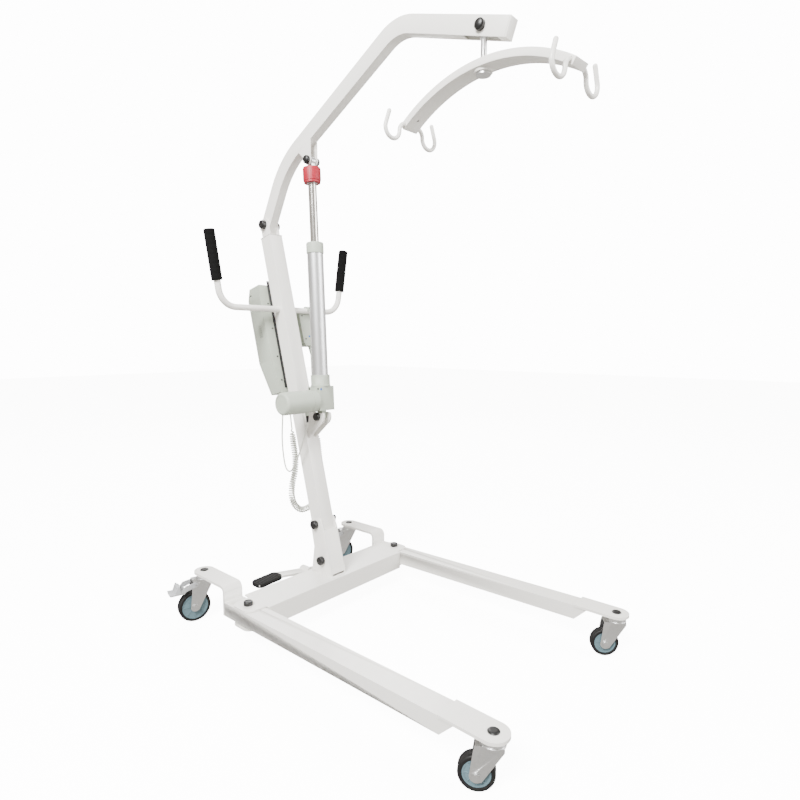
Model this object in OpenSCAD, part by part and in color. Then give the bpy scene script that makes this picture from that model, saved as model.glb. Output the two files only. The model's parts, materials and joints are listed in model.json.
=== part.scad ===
// Floor-standing patient lift hoist.
// Origin on the floor, midway between the two leg pivots.
// +Z up, the legs reach forward along -Y, and the carer stands on the +Y side.
// Left and right are the carer's: left is -X.

/* [Base] */
// Distance from the centre plane to each leg pivot
pivot_x = 312; // [280:1:380]
// Length of a leg from its pivot to the front castor pin
leg_front = 810; // [600:5:1000]
// Length from a leg pivot back to the rear castor pin
leg_rear = 235; // [200:1:290]
// Width of the leg tube
leg_w = 60; // [50:1:75]
// Height of the leg tube
leg_h = 40; // [32:1:50]
// Wall of the leg tube
leg_wall = 2.5; // [2:0.5:4]
// Height of the leg's top face above the floor at its pivot
leg_top = 107.5; // [104:0.5:130]
// Upward slope of each leg towards the front, in degrees
leg_rise = 0.8; // [0:0.1:1.2]
// Outward splay of each leg at rest, in degrees
leg_splay = 0.4; // [0:0.1:1]
// Depth of the crossbar from front to back
crossbar_d = 120; // [110:1:150]
// Thickness of the plates above and below the crossbar
plate_t = 4; // [3:0.5:6]
// Thickness of the bent flat bar that carries a rear castor
bracket_t = 8; // [6:0.5:10]
// Height of the rear bracket's top face above the floor
bracket_top = 152; // [150:1:170]
// Thickness of the front castor plate
toe_t = 7; // [5:0.5:9]
// Height of the front castor plate's top face above the floor
toe_top = 121; // [119:0.5:140]

/* [Castors] */
// Diameter of the front wheels
front_wheel_d = 75; // [62:1:80]
// Diameter of the rear wheels
rear_wheel_d = 95; // [80:1:104]
// Width of a front wheel
front_wheel_w = 25; // [20:1:28]
// Width of a rear wheel
rear_wheel_w = 27; // [22:1:30]
// Offset of a front axle from its castor pin
front_trail = 31; // [26:1:36]
// Offset of a rear axle from its castor pin
rear_trail = 34; // [30:1:40]
// Directions the four castors trail in at rest, in degrees from +X
front_left_turn = 120; // [0:1:360]
front_right_turn = 126; // [0:1:360]
rear_left_turn = 165; // [0:1:360]
rear_right_turn = 152; // [0:1:360]

/* [Mast] */
// Side of the square mast tube
mast_w = 50; // [44:1:60]
// Wall of the mast tube
mast_wall = 2.5; // [2:0.5:4]
// Backward lean of the mast, in degrees
mast_lean = 14.7; // [8:0.1:18]
// Distance along the mast from its foot to the boom pivot
mast_reach = 1172; // [1000:1:1400]
// Distance along the mast from its foot to the push handle
handle_at = 879; // [800:1:900]
// Half the width of the push handle between its bends
handle_half = 246; // [200:1:280]
// Diameter of the push handle tube
handle_d = 20; // [18:0.5:25]
// Length of a foam grip
grip_l = 150; // [120:1:170]
// Outer diameter of a foam grip
grip_d = 33; // [27:0.5:36]

/* [Boom] */
// Height of the boom tube's section
boom_h = 45; // [40:1:55]
// Width of the boom tube's section
boom_w = 30; // [26:1:36]
// Wall of the boom tube
boom_wall = 2.5; // [2:0.5:3.5]
// Length of the steep lower run, from the boom pivot to the first corner
boom_low = 202; // [180:1:240]
// Length between the two corners
boom_mid = 553; // [480:1:640]
// Length of the front run, from the second corner to the boom's tip
boom_tip = 354; // [320:1:420]
// Distance from the boom's tip back to the hanger bolt
hanger_back = 75; // [60:1:90]

/* [Spreader bar] */
// Width of the spreader bar
bar_w = 50; // [44:1:56]
// Thickness of the spreader bar
bar_t = 18; // [15:1:24]
// Outer radius of the bar's arch
bar_r = 448; // [400:1:520]
// Half the angle that the arch spans, in degrees
bar_half = 35; // [30:0.5:38]
// Turn of the bar about its hanger at rest, in degrees
bar_turn = -5.3; // [-90:0.1:90]
// Diameter of the rod that the sling hooks are bent from
hook_d = 11; // [9:0.5:12]
// Radius of a hook's bend, at the middle of the rod
hook_r = 25; // [20:0.5:30]

/* [Actuator] */
// Height of the actuator's lower pivot above the floor
act_z = 620; // [580:1:660]
// Distance of that pivot behind the origin
act_y = 33; // [20:1:40]
// Length between the actuator's two pivots at rest
act_l = 795; // [760:1:820]
// Outer diameter of the aluminium tube
tube_d = 50; // [46:1:56]
// Diameter of the piston rod
rod_d = 26; // [22:1:30]
// Diameter of the motor housing
motor_d = 70; // [60:1:76]
// Length of the motor housing
motor_l = 129; // [100:1:140]
// Outer diameter of the red lowering collar
collar_d = 56; // [50:1:62]

/* [Control box] */
// Half width of the control box at its top
box_top_half = 68; // [60:1:74]
// Half width of the control box at its bottom
box_bottom_half = 52; // [46:1:60]
// Depth of the control box
box_depth = 77; // [60:1:84]
// Length of the control box along the mast
box_l = 364; // [330:1:390]
// Wall of the moulded housings
shell = 2.5; // [2:0.5:3]

/* [Hidden] */
$fn = 48;
gap = 0.3;            // free space between pieces that move past each other
fit = 0.08;           // radial clearance of a running pin
seat = 0.05;          // radial clearance of a bolt that doesn't turn

paint = [0.93, 0.93, 0.90];
black = [0.08, 0.08, 0.09];
zinc = [0.75, 0.75, 0.76];
grey_green = [0.72, 0.75, 0.70];
hub_blue = [0.50, 0.60, 0.64];
lead_grey = [0.78, 0.79, 0.74];

// Base
plate_z = leg_top + 1.5;              // underside of the crossbar's top plate
deck_z = plate_z + plate_t;           // top of the crossbar
crossbar_h = 50;
crossbar_z = plate_z - crossbar_h;    // underside of the crossbar tube
floor_z = crossbar_z - plate_t;       // underside of its bottom plate
crossbar_y = 4 - crossbar_d / 2;      // front face of the crossbar
crossbar_half = pivot_x - leg_w / 2 - 1;
leg_gap = 1.2;                        // room beside a leg in the crossbar's end
crossbar_wall = 3;
ear_d = 84;                           // depth of the plates over a leg
pivot_d = 12;
bush_d = 22;
leg_z = leg_top - leg_h;              // underside of a leg at its pivot
leg_tail = 75;                        // length of leg tube behind the pivot
leg_chin = 107;                       // from the front castor pin back to the tube's lower edge
leg_slant = 46;                       // slant of the tube's closed front end, in degrees
toe_r = 33;
pin_d = 12;                           // castor pin
leg_open = 10.5;                      // travel of a leg from closed to open, in degrees
link_y = 19;                          // distance from a leg pivot to its tie rod pin
link_pin_d = 6;
crank_r = 10;
rod_eye_r = 6;
pedal_tilt = 10;                      // tilt of the rocker either side of level, in degrees
pedal_z = plate_z - crossbar_h / 2;
pedal_y = 122;                        // middle of the foot pedal, behind the pivots
shaft_d = 16;

// Mast
foot_y = -8;
mast_top = mast_reach - 42;           // end of the square tube
cheek_t = 5;
cheek_half = boom_w / 2 + 0.6;        // inner face of the boom's cheeks
foot_bolt_low = 48;
foot_bolt_high = 164;
boom_pin_d = 14;
boom_pin_y = foot_y + mast_reach * sin(mast_lean);
boom_pin_z = deck_z + mast_reach * cos(mast_lean);

// Boom angles above the horizontal
low_angle = 61.7;
mid_angle = 28.3;
tip_angle = -19.8;
low_r = 270;
high_r = 115;

// Boom corners as [y, z]
corner_a = [boom_pin_y, boom_pin_z] + boom_low * ahead(low_angle);
corner_b = corner_a + boom_mid * ahead(mid_angle);
boom_end = corner_b + boom_tip * ahead(tip_angle);
hanger_pin = boom_end - hanger_back * ahead(tip_angle);
hanger_pin_d = 12;

// Actuator
act_lean = 2.6;
eye = [act_y + act_l * sin(act_lean), act_z + act_l * cos(act_lean)];
act_pin_d = 10;
act_cheek = 11;                       // inner face of the lower and upper cheeks
box_foot = 20;                        // gearbox housing above the lower pivot
box_head = 96;
neck_top = 132;
tube_top = 512;
motor_z = 51;

// Spreader bar
hanger_d = 15;
bar_drop = 77;                        // top of the bar's arch below the hanger bolt
bar_z = hanger_pin[1] - bar_drop;
bar_wall = 2.5;
hook_reach = 68;                      // middle of a hook's bend, out from the bar's centre line

// Control box
box_low = 607;
rail_t = 5;
box_front = mast_w / 2 + rail_t;

// ---------- helpers ----------

function turned(p, a) = [p[0] * cos(a) - p[1] * sin(a), p[0] * sin(a) + p[1] * cos(a)];

// A castor pin's place on the plan, for side -1 or 1 and a distance along the leg
function pin_at(side, along) = [side * pivot_x, 0] + turned([0, along], side * leg_splay);

// A block from its low corner to its high corner
module block(low, high) {
  translate(low)
    cube(high - low);
}

// A cylinder along X, centred on x = 0
module rod_x(d, l) {
  rotate([0, 90, 0])
    cylinder(d = d, h = l, center = true);
}

// A cylinder along Y, centred on y = 0
module rod_y(d, l) {
  rotate([90, 0, 0])
    cylinder(d = d, h = l, center = true);
}

// A plate in the YZ plane from x0 to x1
module side_plate(x0, x1) {
  translate([x0, 0, 0])
    rotate([90, 0, 90])
      linear_extrude(x1 - x0)
        children();
}

// The frame of the leg on one side, -1 left or 1 right
module on_leg(side) {
  translate([side * pivot_x, 0, 0])
    rotate([0, 0, side * leg_splay])
      children();
}

// The mast's own frame: Z along the mast, Y square to it towards the carer
module on_mast() {
  translate([0, foot_y, deck_z])
    rotate([-mast_lean, 0, 0])
      children();
}

// The actuator's own frame: Z from the lower pivot to the rod's eye
module on_actuator() {
  translate([0, act_y, act_z])
    rotate([-act_lean, 0, 0])
      children();
}

// A castor's own frame: the pin on Z, the wheel trailing along +X, the floor at z = 0
module on_castor(side, along, turn) {
  at = pin_at(side, along);
  translate([at[0], at[1], 0])
    rotate([0, 0, turn])
      children();
}

// ---------- base ----------

module crossbar_outline() {
  ear_r = 24;
  translate([-crossbar_half, crossbar_y])
    square([2 * crossbar_half, crossbar_d]);
  difference() {
    translate([-pivot_x - leg_w / 2, -ear_d / 2])
      square([2 * pivot_x + leg_w, ear_d]);
    for (sx = [-1, 1])
      for (sy = [-1, 1])
        translate([sx * (pivot_x + leg_w / 2), sy * ear_d / 2])
          difference() {
            square(2 * ear_r, center = true);
            translate([-sx * ear_r, -sy * ear_r])
              circle(ear_r);
          }
  }
}

module crossbar() {
  color(paint)
    difference() {
      union() {
        block([-crossbar_half, crossbar_y, crossbar_z - 0.01],
          [crossbar_half, crossbar_y + crossbar_d, plate_z + 0.01]);
        for (z = [floor_z, plate_z])
          translate([0, 0, z])
            linear_extrude(plate_t)
              crossbar_outline();
      }
      difference() {
        block([-crossbar_half - 1, crossbar_y + crossbar_wall, crossbar_z],
          [crossbar_half + 1, crossbar_y + crossbar_d - crossbar_wall, plate_z]);
        // bearing of the pedal shaft
        translate([0, crossbar_y + crossbar_d, pedal_z])
          rotate([90, 0, 0])
            cylinder(d = shaft_d + 10, h = 26);
      }
      for (side = [-1, 1])
        translate([side * pivot_x, 0, 0]) {
          translate([0, 0, floor_z - 1])
            cylinder(d = pivot_d + 2 * seat, h = deck_z - floor_z + 2);
          // room for the leg, closed and open
          for (a = [leg_splay, leg_splay + leg_open])
            rotate([0, 0, side * a])
              block([-leg_w / 2 - leg_gap, -crossbar_d, crossbar_z],
                [leg_w / 2 + leg_gap, crossbar_d, plate_z]);
        }
      translate([0, crossbar_y + crossbar_d + 1, pedal_z])
        rotate([90, 0, 0])
          cylinder(d = shaft_d + 2 * fit, h = 40);
    }
}

module mast_foot() {
  front = mast_w / 2 + gap;
  wall = 6;
  side_t = 5;
  top = 178;
  color(paint)
    difference() {
      union() {
        for (s = [-1, 1])
          side_plate(s > 0 ? front : -front - side_t, s > 0 ? front + side_t : -front)
            difference() {
              polygon([
                [foot_y - 33, deck_z],
                [foot_y + 63, deck_z],
                [foot_y + 51, deck_z + 84],
                foot_point(mast_w / 2, top),
                foot_point(-mast_w / 2, top),
                foot_point(-front - wall, top - 36)
              ]);
              translate(foot_point(-mast_w / 2 - 8, top + 8))
                circle(14);
            }
        on_mast()
          block([-front - 0.01, -front - wall, 0], [front + 0.01, -front, top - 36]);
      }
      block([-60, -200, 0], [60, 200, deck_z]);
      for (s = [foot_bolt_low, foot_bolt_high])
        on_mast()
          translate([0, 0, s])
            rod_x(pivot_d + 2 * seat, 90);
    }
}

// A point of the mast's side view as world [y, z]
function foot_point(t, s) = [
  foot_y + s * sin(mast_lean) + t * cos(mast_lean),
  deck_z + s * cos(mast_lean) - t * sin(mast_lean)
];

module mast() {
  half = mast_w / 2;
  inner = half - mast_wall;
  color(paint)
    difference() {
      union() {
        on_mast() {
          block([-half, -half, 8], [half, half, mast_top]);
          // cap plate and the two cheeks that carry the boom
          for (s = [-1, 1])
            side_plate(s > 0 ? cheek_half : -cheek_half - cheek_t, s > 0 ? cheek_half + cheek_t : -cheek_half)
              union() {
                translate([0, mast_reach])
                  circle(21);
                translate([-21, mast_top - 1])
                  square([42, mast_reach - mast_top + 1]);
              }
        }
        // cheeks for the actuator's lower pivot
        for (s = [-1, 1])
          side_plate(s > 0 ? act_cheek : -act_cheek - 6, s > 0 ? act_cheek + 6 : -act_cheek)
            intersection() {
              union() {
                translate([act_y, act_z])
                  circle(27);
                polygon([
                  [act_y - 12, act_z - 24],
                  [act_y, act_z + 13],
                  foot_point(-half + 1, 524),
                  foot_point(-half + 1, 440)
                ]);
              }
              translate([act_y - 40, act_z - 90])
                square([200, 103]);
            }
      }
      on_mast() {
        block([-inner, -inner, 0], [inner, inner, mast_top - 4]);
        for (s = [foot_bolt_low, foot_bolt_high])
          translate([0, 0, s])
            rod_x(pivot_d + 2 * seat, 90);
        translate([0, 0, mast_reach])
          rod_x(boom_pin_d + 2 * seat, 90);
        translate([0, 0, handle_at])
          rod_x(handle_d + 2 * seat, 90);
      }
      translate([0, act_y, act_z])
        rod_x(act_pin_d + 2 * seat, 90);
    }
}

// A bolt along X with a hexagon head at -X and a nut at +X
module cross_bolt(d, half) {
  rod_x(d, 2 * half);
  for (s = [-1, 1])
    translate([s * (half + d * 0.3), 0, 0])
      rotate([0, 90, 0])
        cylinder(d = d * 1.7, h = d * 0.6, center = true, $fn = 6);
}

foot_half = mast_w / 2 + gap + 5;
pin_half = cheek_half + cheek_t;
act_half = act_cheek + 6;

module frame_bolts() {
  color(zinc) {
    for (side = [-1, 1])
      translate([side * pivot_x, 0, 0]) {
        translate([0, 0, floor_z - 8])
          cylinder(d = pivot_d, h = deck_z - floor_z + 12);
        translate([0, 0, floor_z - 8])
          cylinder(d = 20, h = 8, $fn = 6);
      }
    on_mast() {
      for (s = [foot_bolt_low, foot_bolt_high])
        translate([0, 0, s])
          cross_bolt(pivot_d, foot_half);
      translate([0, 0, mast_reach])
        cross_bolt(boom_pin_d, pin_half);
    }
    translate([0, act_y, act_z])
      cross_bolt(act_pin_d, act_half);
  }
}

// A black cap over a bolt end, its mouth at z = 0
module bolt_cap(d, inner_d, h) {
  difference() {
    union() {
      cylinder(d = d, h = h - 4);
      translate([0, 0, h - 4])
        cylinder(d1 = d, d2 = d - 7, h = 4, $fn = 48);
    }
    translate([0, 0, -1])
      cylinder(d = inner_d, h = h - 2);
  }
}

// A three-lobed hand knob over a bolt end, its mouth at z = 0
module lobe_knob(inner_d) {
  difference() {
    union() {
      cylinder(d = 30, h = 14);
      for (a = [0, 120, 240])
        rotate([0, 0, a])
          translate([14, 0, 2])
            cylinder(d = 16, h = 12);
    }
    translate([0, 0, -1])
      cylinder(d = inner_d, h = 10);
  }
}

// The two ends of a bolt along X, each with the child set on it
module on_bolt_ends(half, sides = [-1, 1]) {
  for (s = sides)
    translate([s * half, 0, 0])
      rotate([0, s * 90, 0])
        children();
}

module frame_knobs() {
  color(black) {
    for (side = [-1, 1])
      translate([side * pivot_x, 0, deck_z])
        bolt_cap(26, pivot_d + 0.4, 12);
    on_mast() {
      translate([0, 0, foot_bolt_low])
        on_bolt_ends(foot_half)
          bolt_cap(27, pivot_d * 1.7 + 0.5, 15);
      translate([0, 0, foot_bolt_high]) {
        on_bolt_ends(foot_half, [-1])
          bolt_cap(27, pivot_d * 1.7 + 0.5, 15);
        on_bolt_ends(foot_half, [1])
          lobe_knob(pivot_d * 1.7 + 0.5);
      }
      translate([0, 0, mast_reach])
        on_bolt_ends(pin_half)
          bolt_cap(28, boom_pin_d * 1.7 + 0.5, 15);
    }
    translate([0, act_y, act_z])
      on_bolt_ends(act_half)
        bolt_cap(25, act_pin_d * 1.7 + 0.5, 12);
  }
}

bend_r = 60;
grip_lean = 8.7;
grip_from = 86;                       // start of the grip above the handle's axis

// Places its children at the outer end of a handle bend, Z along the grip
module on_grip(s) {
  translate([s * (handle_half - bend_r), 0, bend_r])
    rotate([0, s * grip_lean, 0])
      translate([s * bend_r, 0, 0])
        children();
}

module push_handle() {
  at = foot_point(0, handle_at);
  centre = [handle_half - bend_r, 0, bend_r];
  up = [sin(grip_lean), 0, cos(grip_lean)];
  half = concat(
    [[mast_w / 2 + 4, 0, 0]],
    [for (a = [0 : 9 : 90 - grip_lean]) centre + bend_r * [sin(a), 0, -cos(a)]],
    [for (l = [0, grip_from + grip_l - bend_r - 6])
      centre + bend_r * [cos(grip_lean), 0, -sin(grip_lean)] + l * up]
  );
  route = concat([for (i = [len(half) - 1 : -1 : 0]) [-half[i][0], 0, half[i][2]]], half);
  color(paint)
    translate([0, at[0], at[1]])
      difference() {
        swept(route, handle_d, [0, 1, 0], 16);
        // bore of the straight run, open at the middle
        rod_x(handle_d - 4, 2 * (handle_half - bend_r) - 4);
        cylinder(d = 6, h = handle_d);
      }
}

module handle_grips() {
  at = foot_point(0, handle_at);
  color(black)
    translate([0, at[0], at[1]])
      for (s = [-1, 1])
        on_grip(s)
          translate([0, 0, grip_from - bend_r])
            difference() {
              cylinder(d = grip_d, h = grip_l);
              translate([0, 0, -1])
                cylinder(d = handle_d + 2 * seat, h = grip_l - 4);
            }
}

// ---------- legs ----------

module leg(side) {
  color(paint)
    on_leg(side)
      difference() {
        union() {
          rotate([-leg_rise, 0, 0])
            difference() {
              block([-leg_w / 2, -leg_front + 58, leg_z], [leg_w / 2, leg_tail, leg_top]);
              difference() {
                block([-leg_w / 2 + leg_wall, -leg_front + 64, leg_z + leg_wall],
                  [leg_w / 2 - leg_wall, leg_tail - leg_wall, leg_top - leg_wall]);
                cylinder(d = bush_d, h = 2 * leg_top);
                translate([0, -leg_front + leg_chin, leg_z])
                  rotate([leg_slant, 0, 0])
                    block([-leg_w, -100, -100], [leg_w, leg_wall, 120]);
              }
              // slanted front end, closed
              translate([0, -leg_front + leg_chin, leg_z])
                rotate([leg_slant, 0, 0])
                  block([-leg_w, -100, -100], [leg_w, 0, 120]);
              // mouth for the tie rod
              block([side > 0 ? -leg_w : 0, link_y - 9, leg_z + leg_wall],
                [side > 0 ? 0 : leg_w, link_y + 9, leg_top - leg_wall]);
            }
          // the tie rod's pin stands inside the mouth
          translate([0, link_y, leg_z + 1])
            cylinder(d = link_pin_d, h = leg_h - 2);
          translate([0, 0, crossbar_z + gap])
            cylinder(d = bush_d, h = plate_z - crossbar_z - 2 * gap);
          // front castor plate
          translate([0, -leg_front, toe_top - toe_t]) {
            cylinder(r = toe_r, h = toe_t);
            block([-toe_r, 0, 0], [toe_r, 110, toe_t]);
          }
          rear_bracket();
        }
        translate([0, 0, leg_z - 40])
          cylinder(d = pivot_d + 2 * fit, h = leg_h + 80);
        translate([0, -leg_front, toe_top - toe_t - 1])
          cylinder(d = pin_d + 2 * seat, h = toe_t + 2);
        translate([0, leg_rear, bracket_top - bracket_t - 1])
          cylinder(d = pin_d + 2 * seat, h = bracket_t + 2);
      }
}

module rear_bracket() {
  bend = 12;
  outer = bend + bracket_t;
  half = leg_w / 2;
  foot_low = leg_z - 1;
  // upright against the leg's end
  block([-half, leg_tail - 0.5, foot_low], [half, leg_tail + bracket_t, bracket_top - outer]);
  // the bend
  translate([0, leg_tail + outer, bracket_top - outer])
    rotate([0, -90, 0])
      rotate([0, 0, 270])
        translate([0, 0, -half])
          rotate_extrude(angle = 90)
            translate([bend, 0])
              square([bracket_t, leg_w]);
  // the flat that carries the castor
  block([-half, leg_tail + outer, bracket_top - bracket_t], [half, leg_rear, bracket_top]);
  translate([0, leg_rear, bracket_top - bracket_t])
    cylinder(r = half, h = bracket_t);
}

// ---------- castors ----------

race_r = 23;
race_t = 4;
head_t = 10;                          // height of the fork's ball housing
crown_t = 3;
arm_t = 2.5;

// Underside of the mounting plate over a castor
function mount_z(front) = front ? toe_top - toe_t : bracket_top - bracket_t;
function crown_z(front) = mount_z(front) - race_t - gap - head_t - crown_t;

module castor_pin(front) {
  top = mount_z(front) + (front ? toe_t : bracket_t);
  low = crown_z(front) - 3 - gap;
  translate([0, 0, low])
    cylinder(d = pin_d, h = top - low - 0.5);
  translate([0, 0, low - 3])
    cylinder(d = 22, h = 3);
  translate([0, 0, mount_z(front) - race_t])
    cylinder(r = race_r, h = race_t);
}

module castor_pins(side) {
  color(zinc)
    for (front = [true, false])
      on_castor(side, front ? -leg_front : leg_rear, 0)
        castor_pin(front);
}

module castor_caps(side) {
  color(black)
    for (front = [true, false])
      on_castor(side, front ? -leg_front : leg_rear, 0)
        translate([0, 0, front ? toe_top : bracket_top])
          cylinder(d1 = 25, d2 = 19, h = 3.5);
}

// The two arms of a fork, as a profile in the castor's XZ plane
module fork_profile(front, trail, wheel_d) {
  z0 = crown_z(front) + crown_t;
  polygon([
    [-22, z0],
    [-22, z0 - 8],
    [trail - 10, wheel_d / 2 - 12],
    [trail + 12, wheel_d / 2 - 6],
    [trail + 13, wheel_d / 2 + 6],
    [trail + 7, z0 - 14],
    [trail + 4, z0]
  ]);
  translate([trail, wheel_d / 2])
    circle(14);
}

module castor_fork(front, trail, wheel_d, wheel_w, axle_d) {
  half = wheel_w / 2 + 2.5;
  z0 = crown_z(front);
  color(zinc) {
    difference() {
      union() {
        for (s = [-1, 1])
          translate([0, s > 0 ? half + arm_t : -half, 0])
            rotate([90, 0, 0])
              linear_extrude(arm_t)
                fork_profile(front, trail, wheel_d);
        translate([0, 0, z0]) {
          cylinder(r = 25, h = crown_t);
          block([-22, -half - 0.5, 0], [trail + 4, half + 0.5, crown_t]);
          translate([0, 0, crown_t - 0.01])
            cylinder(r1 = 24, r2 = 22, h = head_t);
        }
      }
      translate([0, 0, z0 - 1])
        cylinder(d = pin_d + 2 * fit, h = head_t + crown_t + 2);
      translate([trail, 0, wheel_d / 2])
        rotate([90, 0, 0])
          cylinder(d = axle_d + 2 * seat, h = 80, center = true);
    }
    // axle bolt and nut, one separate piece in the fork's eyes
    translate([trail, 0, wheel_d / 2])
      rotate([90, 0, 0]) {
        cylinder(d = axle_d, h = 2 * (half + arm_t), center = true);
        for (s = [-1, 1])
          translate([0, 0, s * (half + arm_t + 2.5)])
            cylinder(d = axle_d * 1.75, h = 5, center = true);
      }
  }
}

module castor_hub(trail, wheel_d, wheel_w, axle_d) {
  rim = wheel_d / 2 - 9;
  color(hub_blue)
    translate([trail, 0, wheel_d / 2])
      rotate([90, 0, 0])
        difference() {
          union() {
            cylinder(r = rim, h = wheel_w - 4, center = true);
            cylinder(r = axle_d / 2 + 7, h = wheel_w + 3, center = true);
          }
          for (s = [-1, 1])
            translate([0, 0, s * wheel_w / 2])
              difference() {
                cylinder(r = rim - 4, h = 8, center = true);
                cylinder(r = axle_d / 2 + 7, h = 9, center = true);
              }
          cylinder(d = axle_d + 2 * fit, h = wheel_w + 10, center = true);
        }
}

module castor_tyre(trail, wheel_d, wheel_w) {
  rim = wheel_d / 2 - 9;
  r = wheel_d / 2;
  color(black)
    translate([trail, 0, r])
      rotate([90, 0, 0])
        rotate_extrude()
          polygon([
            [rim, -wheel_w / 2 + 1],
            [rim + 4, -wheel_w / 2],
            [r - 2.5, -wheel_w / 2 + 2.5],
            [r, -wheel_w / 2 + 6],
            [r, wheel_w / 2 - 6],
            [r - 2.5, wheel_w / 2 - 2.5],
            [rim + 4, wheel_w / 2],
            [rim, wheel_w / 2 - 1]
          ]);
}

front_axle = 8;
rear_axle = 10;

module front_fork(side, turn) {
  on_castor(side, -leg_front, turn)
    castor_fork(true, front_trail, front_wheel_d, front_wheel_w, front_axle);
}

module rear_fork(side, turn) {
  on_castor(side, leg_rear, turn) {
    castor_fork(false, rear_trail, rear_wheel_d, rear_wheel_w, rear_axle);
    // ears and pin for the brake pedal
    color(zinc)
      translate([brake_x, 0, brake_z])
        rotate([90, 0, 0])
          cylinder(d = brake_pin_d, h = 2 * brake_half, center = true);
  }
}

module front_hub(side, turn) {
  on_castor(side, -leg_front, turn)
    castor_hub(front_trail, front_wheel_d, front_wheel_w, front_axle);
}

module rear_hub(side, turn) {
  on_castor(side, leg_rear, turn)
    castor_hub(rear_trail, rear_wheel_d, rear_wheel_w, rear_axle);
}

module front_tyre(side, turn) {
  on_castor(side, -leg_front, turn)
    castor_tyre(front_trail, front_wheel_d, front_wheel_w);
}

module rear_tyre(side, turn) {
  on_castor(side, leg_rear, turn)
    castor_tyre(rear_trail, rear_wheel_d, rear_wheel_w);
}

brake_x = rear_trail - 2;             // hinge of the brake pedal on the fork's arms
brake_z = crown_z(false) - 8;
brake_pin_d = 5;
brake_half = rear_wheel_w / 2 + 2.5 + arm_t + 4;

module brake_pedal(side, turn) {
  out = rear_wheel_w / 2 + 2.5 + arm_t + gap;
  color(zinc)
    on_castor(side, leg_rear, turn)
      difference() {
        union() {
          // side straps outside the fork
          for (s = [-1, 1])
            translate([0, s > 0 ? out + 2.5 : -out, 0])
              rotate([90, 0, 0])
                linear_extrude(2.5) {
                  translate([brake_x, brake_z])
                    circle(7);
                  polygon([
                    [brake_x, brake_z + 7],
                    [brake_x, brake_z - 7],
                    [brake_x + 30, brake_z - 16],
                    [brake_x + 42, brake_z - 12],
                    [brake_x + 30, brake_z + 2]
                  ]);
                }
          // tread plate, with the upright tab that frees it
          translate([0, out + 2.5, 0])
            rotate([90, 0, 0])
              linear_extrude(2 * out + 5)
                polygon([
                  [brake_x + 28, brake_z - 12],
                  [brake_x + 28, brake_z - 16],
                  [brake_x + 60, brake_z - 22],
                  [brake_x + 74, brake_z - 20],
                  [brake_x + 76, brake_z - 16],
                  [brake_x + 60, brake_z - 17],
                  [brake_x + 52, brake_z + 4],
                  [brake_x + 48, brake_z + 4],
                  [brake_x + 44, brake_z - 14]
                ]);
        }
        translate([brake_x, 0, brake_z])
          rotate([90, 0, 0])
            cylinder(d = brake_pin_d + 2 * fit, h = 120, center = true);
      }
}

// ---------- leg-opening pedal ----------

// The rocker's own frame: its shaft along Y, level at no tilt
module on_rocker() {
  translate([0, 0, pedal_z])
    rotate([0, pedal_tilt, 0])
      children();
}

pad_from = 112;                       // bend of the lever, where a pad begins
pad_droop = 12;                       // droop of the lever's ends, in degrees
pad_l = 92;
lever_w = 40;
lever_t = 8;

// Side view of the flat lever with its two drooping ends
module lever_outline() {
  end = [pad_from + pad_l * cos(pad_droop), -pad_l * sin(pad_droop)];
  up = lever_t / 2 * [sin(pad_droop), cos(pad_droop)];
  mitre = lever_t / 2 * tan(pad_droop / 2);
  half = [[pad_from + mitre, lever_t / 2], end + up, end - up, [pad_from - mitre, -lever_t / 2]];
  polygon(concat(half, [for (i = [3 : -1 : 0]) [-half[i][0], half[i][1]]]));
}

module pedal_rocker() {
  crank_y = crossbar_y + crossbar_d - 34;
  color(paint)
    on_rocker() {
      difference() {
        union() {
          translate([0, pedal_y + 20, 0])
            rotate([90, 0, 0])
              cylinder(d = shaft_d, h = pedal_y + 20 - crank_y);
          translate([0, pedal_y + 20, 0])
            rotate([90, 0, 0])
              cylinder(d = 30, h = 40);
          translate([0, pedal_y + lever_w / 2, 0])
            rotate([90, 0, 0])
              linear_extrude(lever_w)
                lever_outline();
          // crank plate with its two pins
          translate([0, crank_y + 4, 0])
            rotate([90, 0, 0]) {
              cylinder(r = 11, h = 4);
              for (s = [-1, 1])
                translate([0, s * crank_r, 0])
                  cylinder(d = 9, h = 4);
            }
          for (s = [-1, 1])
            translate([0, crank_y + 1, s * crank_r])
              rotate([90, 0, 0])
                cylinder(d = link_pin_d, h = crank_y + 1 - link_y + 4);
        }
      }
    }
}

module pedal_pads() {
  color(black)
    on_rocker()
      for (s = [-1, 1])
        translate([s * pad_from, pedal_y, 0])
          rotate([0, s * pad_droop, 0])
            difference() {
              block([s > 0 ? 2 : -pad_l - 4, -24, -7], [s > 0 ? pad_l + 4 : -2, 24, 9]);
              block([s > 0 ? -10 : -pad_l, -lever_w / 2, -lever_t / 2],
                [s > 0 ? pad_l : 10, lever_w / 2, lever_t / 2]);
            }
}

// Tie rod from the rocker's crank to one leg: the left one takes the lower pin
module tie_rod(side) {
  inner_x = side * crank_r * sin(pedal_tilt);
  z = pedal_z + side * crank_r * cos(pedal_tilt);
  outer = side * pivot_x + turned([0, link_y], side * leg_splay)[0];
  eye_h = 7;
  color(zinc)
    difference() {
      union() {
        translate([inner_x, link_y + eye_h / 2, z])
          rotate([90, 0, 0])
            cylinder(r = rod_eye_r, h = eye_h);
        translate([min(inner_x, outer) + 4.5, link_y, z])
          rotate([0, 90, 0])
            cylinder(d = 6, h = abs(outer - inner_x) - 9);
        translate([outer, link_y, z - eye_h / 2])
          cylinder(r = rod_eye_r, h = eye_h);
      }
      translate([inner_x, link_y, z])
        rotate([90, 0, 0])
          cylinder(d = link_pin_d + 1, h = 20, center = true);
      translate([outer, link_y, z])
        cylinder(d = link_pin_d + 1, h = 20, center = true);
    }
}

// ---------- control box ----------

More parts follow.
